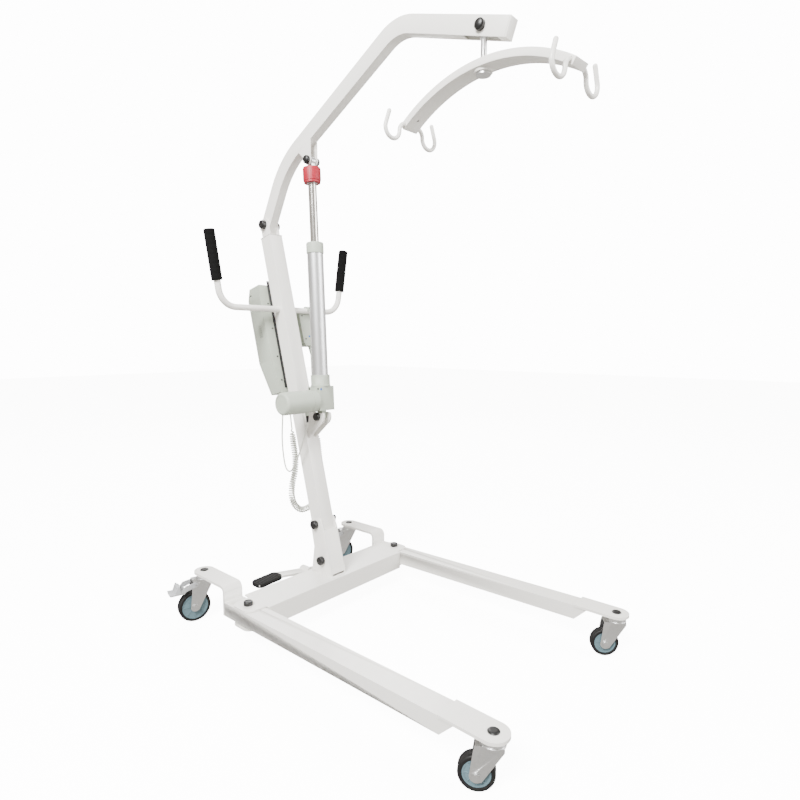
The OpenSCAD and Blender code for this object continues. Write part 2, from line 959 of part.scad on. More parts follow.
// The box's plan at one height along the mast, as [x, y]
module box_plan(half, depth, inset) {
  r = 10;
  polygon([
    [-half + inset, box_front + inset],
    [half - inset, box_front + inset],
    [half - inset, box_front + depth - r],
    [half - inset - r, box_front + depth - inset],
    [-half + inset + r, box_front + depth - inset],
    [-half + inset, box_front + depth - r]
  ]);
}

// Solid of the box, drawn in by an inset all round
module box_body(inset) {
  low = box_low + inset;
  high = box_low + box_l - inset;
  hull() {
    translate([0, 0, high - 0.5])
      linear_extrude(0.5)
        box_plan(box_top_half - 4, box_depth - 12, inset);
    translate([0, 0, high - 40])
      linear_extrude(0.5)
        box_plan(box_top_half, box_depth, inset);
    translate([0, 0, box_low + 110])
      linear_extrude(0.5)
        box_plan(box_top_half - 3, box_depth + 4, inset);
    translate([0, 0, low])
      linear_extrude(0.5)
        box_plan(box_bottom_half, box_depth - 14, inset);
  }
}

stop_at = [0, box_front + box_depth, box_low + box_l - 62];
stop_d = 16;
socket_d = 9;
socket_deep = 12;
socket_at = [34, box_front + 24, box_low];

module control_case() {
  color(grey_green)
    on_mast()
      difference() {
        box_body(0);
        difference() {
          box_body(shell);
          translate([socket_at[0], socket_at[1], box_low])
            cylinder(d = socket_d + 5, h = socket_deep);
        }
        translate(stop_at)
          rod_y(stop_d + 2 * fit, 12);
        translate([socket_at[0], socket_at[1], box_low - 1])
          cylinder(d = socket_d, h = socket_deep + 1 - 2);
        for (x = [-30, -5])
          translate([x, box_front + 24, box_low - 1])
            cylinder(d = 8 + 2 * seat, h = shell + 2);
      }
}

module battery_pack() {
  color("dimgray")
    on_mast()
      for (x = [-23.5, 23.5])
        block([x - 21, box_front + 6, box_low + 190], [x + 21, box_front + 42, box_low + 320]);
}

module circuit_boards() {
  color("seagreen") {
    on_mast()
      block([-40, box_front + 8, box_low + 40], [40, box_front + 10, box_low + 170]);
    on_handset()
      block([-20, -1, 22], [20, 0.6, 105]);
  }
}

module box_rail() {
  color(black)
    on_mast()
      block([-32, mast_w / 2 + 0.1, box_low + 14], [32, box_front - 0.1, box_low + box_l + 14]);
}

module case_screws() {
  color(black)
    on_mast() {
      for (s = [-1, 1])
        for (z = [40, 120, 215, 300])
          translate([s * 40, box_front - 0.1, box_low + z])
            rotate([90, 0, 0])
              cylinder(d = 5.5, h = 1.6);
    }
  color(black)
    on_handset()
      for (p = [[-20, 24], [-20, 106]])
        translate([p[0], -12, p[1]])
          rotate([90, 0, 0])
            cylinder(d = 5, h = 1);
}

module stop_button() {
  color("red")
    on_mast()
      translate(stop_at)
        rotate([-90, 0, 0]) {
          translate([0, 0, 5])
            cylinder(d1 = 26, d2 = 23, h = 9);
          translate([0, 0, -8])
            cylinder(d = stop_d, h = 13.5);
        }
}

// ---------- handset ----------

handset_x = 101;
handset_low = 759;
handset_l = 126;
handset_w = 62;

// The handset's own frame: it hangs from the handle with its back to the front
module on_handset() {
  on_mast()
    translate([handset_x, handle_d / 2 + 15, handset_low])
      children();
}

module handset_case() {
  w = handset_w / 2;
  up = handle_at - handset_low;
  color(grey_green)
    difference() {
      on_handset() {
        difference() {
          hull() {
            block([-w + 6, -12, 0], [w - 6, 10, 1]);
            block([-w, -12, 12], [w, 12, handset_l - 8]);
            block([-w + 6, -12, handset_l - 1], [w - 6, 8, handset_l]);
          }
          hull() {
            block([-w + 8, -9.5, 3], [w - 8, 7.5, 4]);
            block([-w + 2.5, -9.5, 14], [w - 2.5, 9.5, handset_l - 10]);
          }
          for (z = button_rows)
            translate([0, 13, z])
              rotate([90, 0, 0])
                cylinder(d = button_d + 2 * fit, h = 8);
          translate([0, -0.5, -2])
            cylinder(d = 8 + 2 * seat, h = 8);
        }
        // hook over the handle tube
        translate([-12, 0, up])
          rotate([0, 90, 0])
            translate([0, -handle_d / 2 - 15, 0])
              rotate([0, 0, 75])
                rotate_extrude(angle = 220)
                  translate([handle_d / 2 + 0.6, 0])
                    square([4, 24]);
      }
    }
}

button_d = 17;
button_rows = [52, 82];

module handset_button(z) {
  color("dimgray")
    on_handset()
      translate([0, 13.5, z])
        rotate([90, 0, 0])
          cylinder(d = button_d, h = 9);
}

// ---------- cords ----------

// Routes are world points, chosen by hand
lead_d = 5;
coil_d = 20;
lead_top = [
  [-5, 196, 678], [-6, 189, 650], [-9, 183, 625], [-12, 176, 600], [-14, 170, 575]
];
coil_route = [
  [-14, 170, 575], [-14, 162, 520], [-12, 155, 470], [-20, 149, 425], [-34, 146, 385], [-38, 144, 345],
  [-26, 142, 312], [2, 141, 292], [45, 141, 300], [78, 144, 335], [94, 151, 385], [100, 161, 440],
  [101, 170, 500], [101, 178, 550]
];
lead_end = [
  [101, 178, 550], [101, 186, 610], [101, 192, 670], [101, 197, 740], [101, 202, 818]
];
motor_route = [
  [-60, 33, 626.5], [-60, 35, 602], [-58, 50, 560], [-54, 80, 505], [-50, 112, 455], [-47, 140, 432],
  [-44, 165, 440], [-42, 180, 480], [-40, 188, 540], [-35, 190, 610], [-30, 196, 678]
];

// Points on a smooth curve through a route, n steps between neighbours
function spline(p, n) = [
  for (i = [0 : len(p) - 2])
    for (k = [0 : n - 1])
      curve_at(p[max(i - 1, 0)], p[i], p[i + 1], p[min(i + 2, len(p) - 1)], k / n),
  p[len(p) - 1]
];
function curve_at(a, b, c, d, t) =
  0.5 * ((2 * b) + (c - a) * t + (2 * a - 5 * b + 4 * c - d) * t * t
    + (3 * b - a - 3 * c + d) * t * t * t);
function unit(v) = v / norm(v);
function heading(q, i) = unit(q[min(i + 1, len(q) - 1)] - q[max(i - 1, 0)]);

// A round rod swept through the points of a route, with m sides. The side vector is
// one that the route never follows.
module swept(q, d, side, m = 8) {
  rings = [
    for (i = [0 : len(q) - 1])
      let (t = heading(q, i), u = unit(cross(t, side)), v = cross(t, u))
        for (k = [0 : m - 1])
          q[i] + d / 2 * (cos(k * 360 / m) * u + sin(k * 360 / m) * v)
  ];
  walls = [
    for (i = [0 : len(q) - 2])
      for (k = [0 : m - 1])
        let (a = i * m + k, b = i * m + (k + 1) % m)
          [a, a + m, b + m, b]
  ];
  last = (len(q) - 1) * m;
  first_cap = [for (k = [0 : m - 1]) k];
  last_cap = [for (k = [m - 1 : -1 : 0]) last + k];
  polyhedron(points = rings, faces = concat(walls, [first_cap, last_cap]));
}

module handset_lead() {
  color(lead_grey) {
    swept(spline(lead_top, 3), lead_d, [1, 0, 0]);
    swept(spline(lead_end, 4), lead_d, [1, 0, 0]);
  }
}

module handset_coil() {
  color(lead_grey)
    swept(spline(coil_route, 2), coil_d, [0, 1, 0]);
}

module motor_lead() {
  color(lead_grey)
    swept(spline(motor_route, 3), lead_d, [1, 0, 0]);
}

module cord_glands() {
  color(black) {
    on_mast()
      for (x = [-30, -5])
        translate([x, box_front + 24, 0]) {
          translate([0, 0, box_low - 1])
            cylinder(d = 8, h = shell + 3);
          translate([0, 0, box_low - 10])
            cylinder(d1 = 8, d2 = 12, h = 10);
        }
  }
  color(grey_green)
    on_handset()
      translate([0, -0.5, 0]) {
        cylinder(d = 8, h = 4);
        translate([0, 0, -26])
          cylinder(d1 = 7, d2 = 13, h = 26);
      }
}

// ---------- actuator ----------

module gearbox_case() {
  color(grey_green)
    on_actuator()
      difference() {
        union() {
          block([-29, -28, box_foot], [30, 28, box_head]);
          translate([0, 0, box_head - 1])
            cylinder(d = tube_d + 10, h = neck_top - box_head + 1);
          // lower eye
          block([-9, -12, 0], [9, 12, box_foot + 1]);
          rod_x(24, 18);
        }
        rod_x(act_pin_d + 2 * fit, 60);
        translate([0, 0, box_foot + 4])
          cylinder(d = tube_d - 8, h = neck_top);
        translate([0, 0, box_head + 4])
          cylinder(d = tube_d + 2 * seat, h = neck_top);
      }
}

module motor_case() {
  color(grey_green)
    on_actuator()
      translate([-29 - gap / 3, 0, motor_z])
        rotate([0, -90, 0])
          difference() {
            union() {
              cylinder(d = motor_d, h = motor_l - 6);
              translate([0, 0, motor_l - 6])
                cylinder(d1 = motor_d, d2 = motor_d - 10, h = 6);
              // boss of the lead's gland
              translate([-motor_z - 1 + 8, 0, 31])
                rotate([0, 90, 0])
                  cylinder(d = 12, h = 12);
            }
            translate([0, 0, 3])
              cylinder(d = motor_d - 6, h = motor_l - 12);
          }
}

module motor_core() {
  color("dimgray")
    on_actuator()
      translate([-29 - gap / 3, 0, motor_z])
        rotate([0, -90, 0])
          translate([0, 0, 6])
            cylinder(d = motor_d - 16, h = motor_l - 24);
}

module actuator_tube() {
  color("silver")
    on_actuator()
      difference() {
        translate([0, 0, box_head + 4])
          cylinder(d = tube_d, h = tube_top - box_head - 4);
        translate([0, 0, box_head])
          cylinder(d = tube_d - 6, h = tube_top);
      }
}

module tube_cap() {
  color(grey_green)
    on_actuator()
      difference() {
        translate([0, 0, tube_top + 0.1])
          cylinder(d = tube_d + 4, h = 34);
        translate([0, 0, tube_top - 1])
          cylinder(d = rod_d + 2 * fit, h = 60);
      }
}

spindle_d = 14;
rod_top = act_l - 69;                 // top of the plain rod
eye_neck = 32;
collar_l = 48.5;

module spindle() {
  color(zinc)
    on_actuator()
      translate([0, 0, box_foot + 8]) {
        cylinder(d = spindle_d, h = 440);
        cylinder(d = 38, h = 14);
      }
}

module piston_rod() {
  color("silver")
    on_actuator()
      difference() {
        union() {
          translate([0, 0, 340])
            cylinder(d = rod_d, h = rod_top - 340);
          translate([0, 0, 330])
            cylinder(d = tube_d - 6 - 2 * fit, h = 26);
        }
        translate([0, 0, 320])
          cylinder(d = spindle_d + 2 * fit, h = 356);
      }
}

module rod_eye() {
  color(zinc)
    on_actuator()
      difference() {
        union() {
          translate([0, 0, rod_top])
            cylinder(d = eye_neck, h = collar_l + 0.5);
          translate([0, 0, act_l])
            rod_x(26, 16);
          block([-8, -10, rod_top + collar_l], [8, 10, act_l]);
        }
        translate([0, 0, act_l])
          rod_x(act_pin_d, 60);
      }
}

module release_collar() {
  color("crimson")
    on_actuator()
      difference() {
        translate([0, 0, rod_top + 0.5])
          cylinder(d = collar_d, h = collar_l - 0.5);
        translate([0, 0, rod_top])
          cylinder(d = eye_neck + 2 * fit, h = 60);
      }
}

// ---------- boom ----------

// Turn of the boom at each corner
turn_a = low_angle - mid_angle;
turn_b = mid_angle - tip_angle;
boom_foot = 26;                       // length of boom below its pivot
bend_steps = 8;

// Direction of travel towards the tip at an angle, and the side of it that faces up
function ahead(a) = [-cos(a), sin(a)];
function above(a) = [sin(a), cos(a)];

// Points of one bend: its corner, the angle it starts at, its turn and radius
function bend(corner, a, turn, r, off) =
  let (centre = corner - r * tan(turn / 2) * ahead(a) - r * above(a))
    [for (k = [0 : bend_steps]) centre + (r + off) * above(a - turn * k / bend_steps)];

// One side of the boom's side view, off its centre line, as [y, z]
function boom_line(off, extra) = concat(
  [[boom_pin_y, boom_pin_z] - (boom_foot + extra) * ahead(low_angle) + off * above(low_angle)],
  bend(corner_a, low_angle, turn_a, low_r, off),
  bend(corner_b, mid_angle, turn_b, high_r, off),
  [boom_end + extra * ahead(tip_angle) + off * above(tip_angle)]
);

module boom_solid(h, w, extra) {
  upper = boom_line(h / 2, extra);
  lower = boom_line(-h / 2, extra);
  side_plate(-w / 2, w / 2)
    polygon(concat(upper, [for (i = [len(lower) - 1 : -1 : 0]) lower[i]]));
}

module boom() {
  color(paint)
    difference() {
      union() {
        boom_solid(boom_h, boom_w, 0);
        // cheeks that carry the rod's eye
        for (s = [-1, 1])
          side_plate(s > 0 ? act_cheek : -act_cheek - 4, s > 0 ? act_cheek + 4 : -act_cheek)
            union() {
              translate(eye)
                circle(14);
              polygon([
                eye + [-12, 0],
                eye + [12, 0],
                eye + [52, 40],
                eye + [-12, 74]
              ]);
            }
      }
      difference() {
        boom_solid(boom_h - 2 * boom_wall, boom_w - 2 * boom_wall, 5);
        // solid filling where the boom turns on the mast
        translate([0, boom_pin_y, boom_pin_z])
          rod_x(30, 60);
      }
      translate([0, boom_pin_y, boom_pin_z])
        rod_x(boom_pin_d + 2 * fit, 90);
      translate([0, hanger_pin[0], hanger_pin[1]])
        rod_x(hanger_pin_d + 2 * seat, 90);
      translate([0, eye[0], eye[1]])
        rod_x(act_pin_d + 2 * seat, 90);
      // slot under the tip for the hanger
      translate([0, boom_end[0], boom_end[1]])
        rotate([-tip_angle, 0, 0])
          block([-slot_half, slot_from, -boom_h], [slot_half, hanger_back + 50, 0]);
    }
}

slot_from = 20;                       // solid end of the boom ahead of the hanger's slot
slot_half = boom_w / 2 - boom_wall - 0.5;

module boom_cap() {
  color(paint)
    translate([0, boom_end[0], boom_end[1]])
      rotate([-tip_angle, 0, 0]) {
        block([-boom_w / 2, -4, -boom_h / 2], [boom_w / 2, -0.1, boom_h / 2]);
        block([-boom_w / 2 + boom_wall + 0.2, -0.2, -boom_h / 2 + boom_wall + 0.2],
          [boom_w / 2 - boom_wall - 0.2, 14, boom_h / 2 - boom_wall - 0.2]);
      }
}

module boom_bolts() {
  color(zinc) {
    translate([0, hanger_pin[0], hanger_pin[1]])
      cross_bolt(hanger_pin_d, boom_w / 2);
    // the upper pivot's bolt is modelled as a stub in each cheek
    for (s = [-1, 1])
      translate([s * (act_cheek + 5), eye[0], eye[1]])
        rod_x(act_pin_d, 9.8);
  }
}

module boom_knobs() {
  color(black) {
    translate([0, hanger_pin[0], hanger_pin[1]])
      on_bolt_ends(boom_w / 2)
        bolt_cap(26, hanger_pin_d * 1.7 + 0.5, 13);
    translate([0, eye[0], eye[1]])
      on_bolt_ends(act_cheek + 4)
        bolt_cap(25, act_pin_d + 0.4, 12);
  }
}

// ---------- hanger and spreader bar ----------

module on_hanger() {
  translate([0, hanger_pin[0], bar_z])
    rotate([0, 0, bar_turn])
      children();
}

boss_low = bar_t + 7;

module hanger_rod() {
  color(zinc)
    difference() {
      union() {
        translate([0, hanger_pin[0], hanger_pin[1]])
          rod_x(30, boom_w - 2 * boom_wall - 3);
        translate([0, hanger_pin[0], bar_z - boss_low - 4])
          cylinder(d = hanger_d, h = bar_drop + boss_low + 4);
        translate([0, hanger_pin[0], bar_z - boss_low - 5 - gap])
          cylinder(d = 36, h = 5);
      }
      translate([0, hanger_pin[0], hanger_pin[1]])
        rod_x(hanger_pin_d + 2 * fit, 60);
    }
}

// The arch in the bar's own frame, its ends towards -Y and +Y
module bar_arc(r_out, r_in, w, half) {
  translate([-w / 2, 0, -bar_r])
    rotate([90, 0, 90])
      rotate([0, 0, 90 - half])
        rotate_extrude(angle = 2 * half)
          translate([r_in, 0])
            square([r_out - r_in, w]);
}

module spreader_bar() {
  end_fill = 0.6;
  color(paint)
    on_hanger()
      difference() {
        union() {
          difference() {
            bar_arc(bar_r, bar_r - bar_t, bar_w, bar_half);
            bar_arc(bar_r - bar_wall, bar_r - bar_t + bar_wall, bar_w - 2 * bar_wall, bar_half - end_fill);
          }
          translate([0, 0, -boss_low])
            cylinder(d = 44, h = boss_low - 1);
        }
        translate([0, 0, -100])
          cylinder(d = hanger_d + 2 * fit, h = 200);
        for (s = [-1, 1])
          {
            on_bar_end(s, hook_in)
              rod_x(hook_d + 2 * seat, 200);
            // hole in the underside, near each end
            on_bar_end(s, hole_in)
              translate([0, 0, -bar_t])
                cylinder(d = hole_d, h = bar_t);
          }
      }
}

hook_in = 12;                         // hook rod's distance from the bar's end
hook_angle = bar_half - asin(hook_in / bar_r);
hole_in = 38;                         // hole's distance from the bar's end
hole_d = 6.4;
hook_drop = 22;                       // radius of a hook's first bend

// Frame at a distance from the bar's end: Y along the bar to its middle, Z out of the arch
module on_bar_end(s, from_end) {
  translate([0, 0, -bar_r])
    rotate([s * (bar_half - asin(from_end / bar_r)), 0, 0])
      translate([0, 0, bar_r - bar_t / 2])
        rotate([0, 0, s > 0 ? 0 : 180])
          children();
}

hook_lean = 20;                       // how far past upright a hook's tip leans in
hook_tip_l = 34;

// Half a hook rod in its own upright plane, from the bar's middle out to one tip
hook_half = concat(
  [for (a = [0 : 15 : 90])
    [hook_reach - hook_r - hook_drop, -hook_drop] + hook_drop * [sin(a), cos(a)]],
  [for (a = [15 : 15 : 180 + hook_lean])
    [hook_reach, -hook_drop] - hook_r * [cos(a), sin(a)]],
  [hook_tip(0)],
  [hook_tip(hook_tip_l)]
);
function hook_tip(l) = [hook_reach, -hook_drop] + hook_r * [cos(hook_lean), sin(hook_lean)]
  + l * [-sin(hook_lean), cos(hook_lean)];

module sling_hooks() {
  n = len(hook_half) - 1;
  route = concat(
    [for (i = [n : -1 : 0]) [-hook_half[i][0], 0, hook_half[i][1]]],
    [for (p = hook_half) [p[0], 0, p[1]]]
  );
  color(paint)
    on_hanger()
      for (s = [-1, 1])
        on_bar_end(s, hook_in)
          rotate([-hook_angle, 0, 0])
            swept(route, hook_d, [0, 1, 0], 12);
}

// ---------- the assembly ----------

crossbar();
mast_foot();
mast();
frame_bolts();
frame_knobs();
push_handle();
handle_grips();
leg(-1);  // leg_left
leg(1);  // leg_right
castor_pins(-1);  // left_castor_pins
castor_pins(1);  // right_castor_pins
castor_caps(-1);  // left_castor_caps
castor_caps(1);  // right_castor_caps
front_fork(-1, front_left_turn);  // front_left_fork
front_fork(1, front_right_turn);  // front_right_fork
rear_fork(-1, rear_left_turn);  // rear_left_fork
rear_fork(1, rear_right_turn);  // rear_right_fork
front_hub(-1, front_left_turn);  // front_left_hub
front_hub(1, front_right_turn);  // front_right_hub
rear_hub(-1, rear_left_turn);  // rear_left_hub
rear_hub(1, rear_right_turn);  // rear_right_hub
front_tyre(-1, front_left_turn);  // front_left_tyre
front_tyre(1, front_right_turn);  // front_right_tyre
rear_tyre(-1, rear_left_turn);  // rear_left_tyre
rear_tyre(1, rear_right_turn);  // rear_right_tyre
brake_pedal(-1, rear_left_turn);  // left_brake_pedal
brake_pedal(1, rear_right_turn);  // right_brake_pedal
pedal_rocker();
pedal_pads();
tie_rod(-1);  // tie_rod_left
tie_rod(1);  // tie_rod_right
control_case();
battery_pack();
circuit_boards();
box_rail();
case_screws();
stop_button();
handset_case();
handset_button(button_rows[1]);  // button_up
handset_button(button_rows[0]);  // button_down
cord_glands();
handset_lead();
handset_coil();
motor_lead();
actuator_tube();
tube_cap();
gearbox_case();
motor_case();
motor_core();
spindle();
piston_rod();
rod_eye();
release_collar();
boom();
boom_cap();
boom_bolts();
boom_knobs();
hanger_rod();
spreader_bar();
sling_hooks();
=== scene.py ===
"""An electric patient hoist, with every piece of its frame shaped and finished."""
import json
import math

import bmesh
import bpy
from mathutils import Matrix, Vector


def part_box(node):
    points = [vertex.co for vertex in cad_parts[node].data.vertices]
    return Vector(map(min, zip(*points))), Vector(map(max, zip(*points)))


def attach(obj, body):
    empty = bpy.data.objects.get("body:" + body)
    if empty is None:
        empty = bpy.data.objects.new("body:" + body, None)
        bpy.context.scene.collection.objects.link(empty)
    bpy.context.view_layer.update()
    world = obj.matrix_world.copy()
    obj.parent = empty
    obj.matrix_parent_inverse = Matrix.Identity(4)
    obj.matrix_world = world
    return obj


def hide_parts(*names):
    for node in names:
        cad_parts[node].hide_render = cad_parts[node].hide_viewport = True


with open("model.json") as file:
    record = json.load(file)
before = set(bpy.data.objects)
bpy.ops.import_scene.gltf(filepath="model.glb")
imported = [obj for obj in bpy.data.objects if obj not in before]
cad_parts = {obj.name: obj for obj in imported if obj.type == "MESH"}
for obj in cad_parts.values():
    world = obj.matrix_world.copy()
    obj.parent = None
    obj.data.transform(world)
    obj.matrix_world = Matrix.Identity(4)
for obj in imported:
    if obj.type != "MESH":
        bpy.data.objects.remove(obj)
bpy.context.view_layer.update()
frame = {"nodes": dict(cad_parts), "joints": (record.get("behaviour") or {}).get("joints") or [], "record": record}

bl_info = {
    "name": "Patient Hoist",
    "version": (1, 0, 0),
    "blender": (4, 5, 0),
    "location": "3D View > Sidebar > Hoist",
    "description": "Shapes and finishes an electric patient hoist around its frame",
    "category": "Add Mesh",
}

MM = 0.001
MAST_LEAN = math.radians(14.7)
MAST_FOOT = Vector((0, -8, 113)) * MM
ACTUATOR_LEAN = math.radians(2.6)
ACTUATOR_FOOT = Vector((0, 33, 620)) * MM

# Frames that pieces are shaped in: Z along the mast, or from the actuator's lower pivot
ON_MAST = Matrix.Translation(MAST_FOOT) @ Matrix.Rotation(-MAST_LEAN, 4, "X")
ON_ACTUATOR = Matrix.Translation(ACTUATOR_FOOT) @ Matrix.Rotation(-ACTUATOR_LEAN, 4, "X")


def middle(node):
    """The middle of a frame node's box."""
    low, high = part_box(node)
    return (Vector(low) + Vector(high)) / 2


# ---------- shader building ----------

class Value:
    """A number socket. Sums written on it add the Math nodes that work them out."""

    def __init__(self, finish, socket):
        self.finish = finish
        self.socket = socket

    def maths(self, operation, *terms):
        return self.finish.node("Math", {"operation": operation}, dict(enumerate(terms)))[0]

    def __add__(self, other):
        return self.maths("ADD", self, other)

    __radd__ = __add__

    def __sub__(self, other):
        return self.maths("SUBTRACT", self, other)

    def __rsub__(self, other):
        return self.maths("SUBTRACT", other, self)

    def __mul__(self, other):
        return self.maths("MULTIPLY", self, other)

    __rmul__ = __mul__

    def above(self, limit):
        return self.maths("GREATER_THAN", self, limit)

    def wave(self):
        return self.maths("SINE", self)

    def limited(self):
        return self.maths("MINIMUM", self.maths("MAXIMUM", self, 0.0), 1.0)


OBJECT_PLACE = 3  # the Object output of a Texture Coordinate node


class Finish:
    """One material. node() adds any node; the surface's sockets are set with set()."""

    def __init__(self, name):
        self.material = bpy.data.materials.new(name)
        self.material.use_nodes = True
        self.tree = self.material.node_tree
        self.surface = self.tree.nodes["Principled BSDF"]
        self.place = self.node("TexCoord")[OBJECT_PLACE]
        self.x, self.y, self.z = self.node("SeparateXYZ", {}, {0: self.place})

    def node(self, kind, settings=None, inputs=None):
        """Adds a node, sets it and links its inputs, and gives its outputs."""
        made = self.tree.nodes.new("ShaderNode" + kind)
        for key, setting in (settings or {}).items():
            setattr(made, key, setting)
        for key, given in (inputs or {}).items():
            self.put(made.inputs[key], given)
        return [Value(self, socket) for socket in made.outputs]

    def put(self, socket, given):
        if isinstance(given, Value):
            self.tree.links.new(given.socket, socket)
        elif isinstance(given, tuple) and len(given) == 3 and socket.type == "RGBA":
            socket.default_value = (*given, 1)
        else:
            socket.default_value = given

    def set(self, **sockets):
        for key, given in sockets.items():
            self.put(self.surface.inputs[key.replace("_", " ")], given)
        return self

    def noise(self, scale, detail=2.0, rough=0.5, at=None):
        return self.node("TexNoise", {}, {
            "Vector": at or self.place, "Scale": scale, "Detail": detail, "Roughness": rough})[0]

    def stretched(self, scale, squeeze, turn=(0, 0, 0)):
        """Noise drawn out along one direction."""
        at = self.node("Mapping", {}, {"Vector": self.place, "Scale": squeeze, "Rotation": turn})[0]
        return self.noise(scale, 3.0, 0.6, at)

    def blend(self, factor, one, two):
        """A colour between two colours."""
        return self.node("Mix", {"data_type": "RGBA"}, {0: factor, 6: one, 7: two})[2]

    def bump(self, height, depth, strength=1.0):
        normal = self.node("Bump", {}, {"Height": height, "Distance": depth, "Strength": strength})
        self.set(Normal=normal[0])
        return self


def shade(colour, factor):
    """A colour made lighter or darker."""
    return tuple(min(1.0, part * factor) for part in colour)


def chosen_colour(name):
    """A colour from the panel."""
    return tuple(getattr(bpy.context.scene.hoist_colours, name))


def size(name):
    """A size from the panel, in metres."""
    return getattr(bpy.context.scene.hoist_sizes, name)


FINISHES = {}


def finish(name):
    """The finished material of that name, made the first time it is asked for."""
    if name not in FINISHES:
        FINISHES[name] = RECIPES[name](name).material
    return FINISHES[name]


def powder_coat(name):
    """Sprayed and baked warm white paint: a faint orange peel, dust low down, rubbed patches."""
    made = Finish(name)
    colour = chosen_colour("paint")
    cloud = made.noise(4.0, 4.0)
    dust = (made.noise(38.0, 5.0, 0.65) * 1.6 - 0.45).limited() * (0.42 - made.z * 0.6).limited()
    tint = made.blend((cloud * 1.4 - 0.2).limited(), colour, shade(colour, 0.955))
    made.set(Base_Color=made.blend(dust * 0.32, tint, (0.52, 0.47, 0.40)))
    made.set(Roughness=0.30 + made.noise(14.0, 3.0) * 0.10 + dust * 0.25)
    made.set(Coat_Weight=0.25, Coat_Roughness=0.16)
    return made.bump(made.noise(520.0, 2.0) + made.noise(130.0, 1.0) * 0.8, 0.00016)


def moulded(colour_name, rough, grain=1400.0, depth=0.00006, coat=0.0):
    """A recipe for textured moulded plastic in one of the colours."""
    def recipe(name):
        made = Finish(name)
        colour = chosen_colour(colour_name)
        patch = made.noise(11.0, 4.0)
        scuff = (made.stretched(60.0, (1.0, 7.0, 1.0)) * 2.4 - 1.35).limited()
        made.set(Base_Color=made.blend(patch * 0.5 + scuff * 0.3, colour, shade(colour, 0.84)))
        made.set(Roughness=rough + patch * 0.08 + scuff * 0.10)
        made.set(Coat_Weight=coat, Coat_Roughness=0.12)
        return made.bump(made.noise(grain, 2.0) + made.noise(grain / 7, 1.0) * 0.3, depth)
    return recipe


def foam(name):
    """Closed-cell grip foam: small pits over a dull black."""
    made = Finish(name)
    pits = made.node("TexVoronoi", {}, {"Vector": made.place, "Scale": 820.0})[0]
    wear = made.noise(35.0, 4.0)
    made.set(Base_Color=made.blend(wear, (0.0010, 0.0010, 0.0011), (0.0030, 0.0030, 0.0031)))
    made.set(Roughness=0.82 + pits * 0.14)
    made.set(Specular_IOR_Level=0.16)
    return made.bump(pits * -1.0 + made.noise(260.0) * 0.5, 0.0004)


def rubber(base, rough, dusty):
    """A recipe for rubber, with pale dust held in its grain."""
    def recipe(name):
        made = Finish(name)
        grime = (made.noise(90.0, 5.0, 0.7) * 1.8 - 0.55).limited()
        made.set(Base_Color=made.blend(grime * dusty, base, (0.25, 0.23, 0.21)))
        made.set(Roughness=rough + grime * 0.14, Specular_IOR_Level=0.3)
        return made.bump(made.noise(700.0, 3.0) + grime * 0.4, 0.00014)
    return recipe


def metal(base, dark, rough, squeeze, depth, spangle=0.0):
    """A recipe for bare metal, its grain drawn out along one direction."""
    def recipe(name):
        made = Finish(name)
        grain = made.stretched(240.0, squeeze)
        cloud = made.noise(22.0, 4.0, 0.6)
        cells = made.node("TexVoronoi", {}, {"Vector": made.place, "Scale": 260.0})[0]
        made.set(Base_Color=made.blend(cloud * 0.7 + cells * spangle, base, dark))
        made.set(Metallic=1.0, Roughness=rough + grain * 0.12 + cloud * 0.08)
        return made.bump(grain + cloud * 0.4, depth)
    return recipe


def cord_sheath(name):
    """Soft pale grey cord sheath with a slightly soiled, satin skin."""
    made = Finish(name)
    soil = made.noise(75.0, 5.0, 0.65)
    colour = chosen_colour("cord")
    made.set(Base_Color=made.blend((soil * 1.5 - 0.3).limited(), colour, shade(colour, 0.78)))
    made.set(Roughness=0.46 + soil * 0.14)
    return made.bump(made.noise(900.0), 0.00005)


def circuit_board(name):
    """Green board lacquer with a grid of pale solder points."""
    made = Finish(name)
    dots = ((made.x * 1300.0).wave() * (made.z * 1300.0).wave()).above(0.82)
    made.set(Base_Color=made.blend(dots, (0.02, 0.19, 0.08), (0.62, 0.60, 0.55)))
    made.set(Roughness=0.35 + made.noise(60.0) * 0.2)
    return made.bump(dots, 0.0002)


def concrete(name):
    """The pale studio floor."""
    made = Finish(name)
    mottle = made.noise(1.3, 5.0, 0.55)
    made.set(Base_Color=made.blend(mottle, (0.93, 0.93, 0.93), (0.90, 0.90, 0.90)))
    made.set(Roughness=0.75 + mottle * 0.1, Emission_Strength=11.0, Emission_Color=(1.0, 1.0, 1.0))
    return made


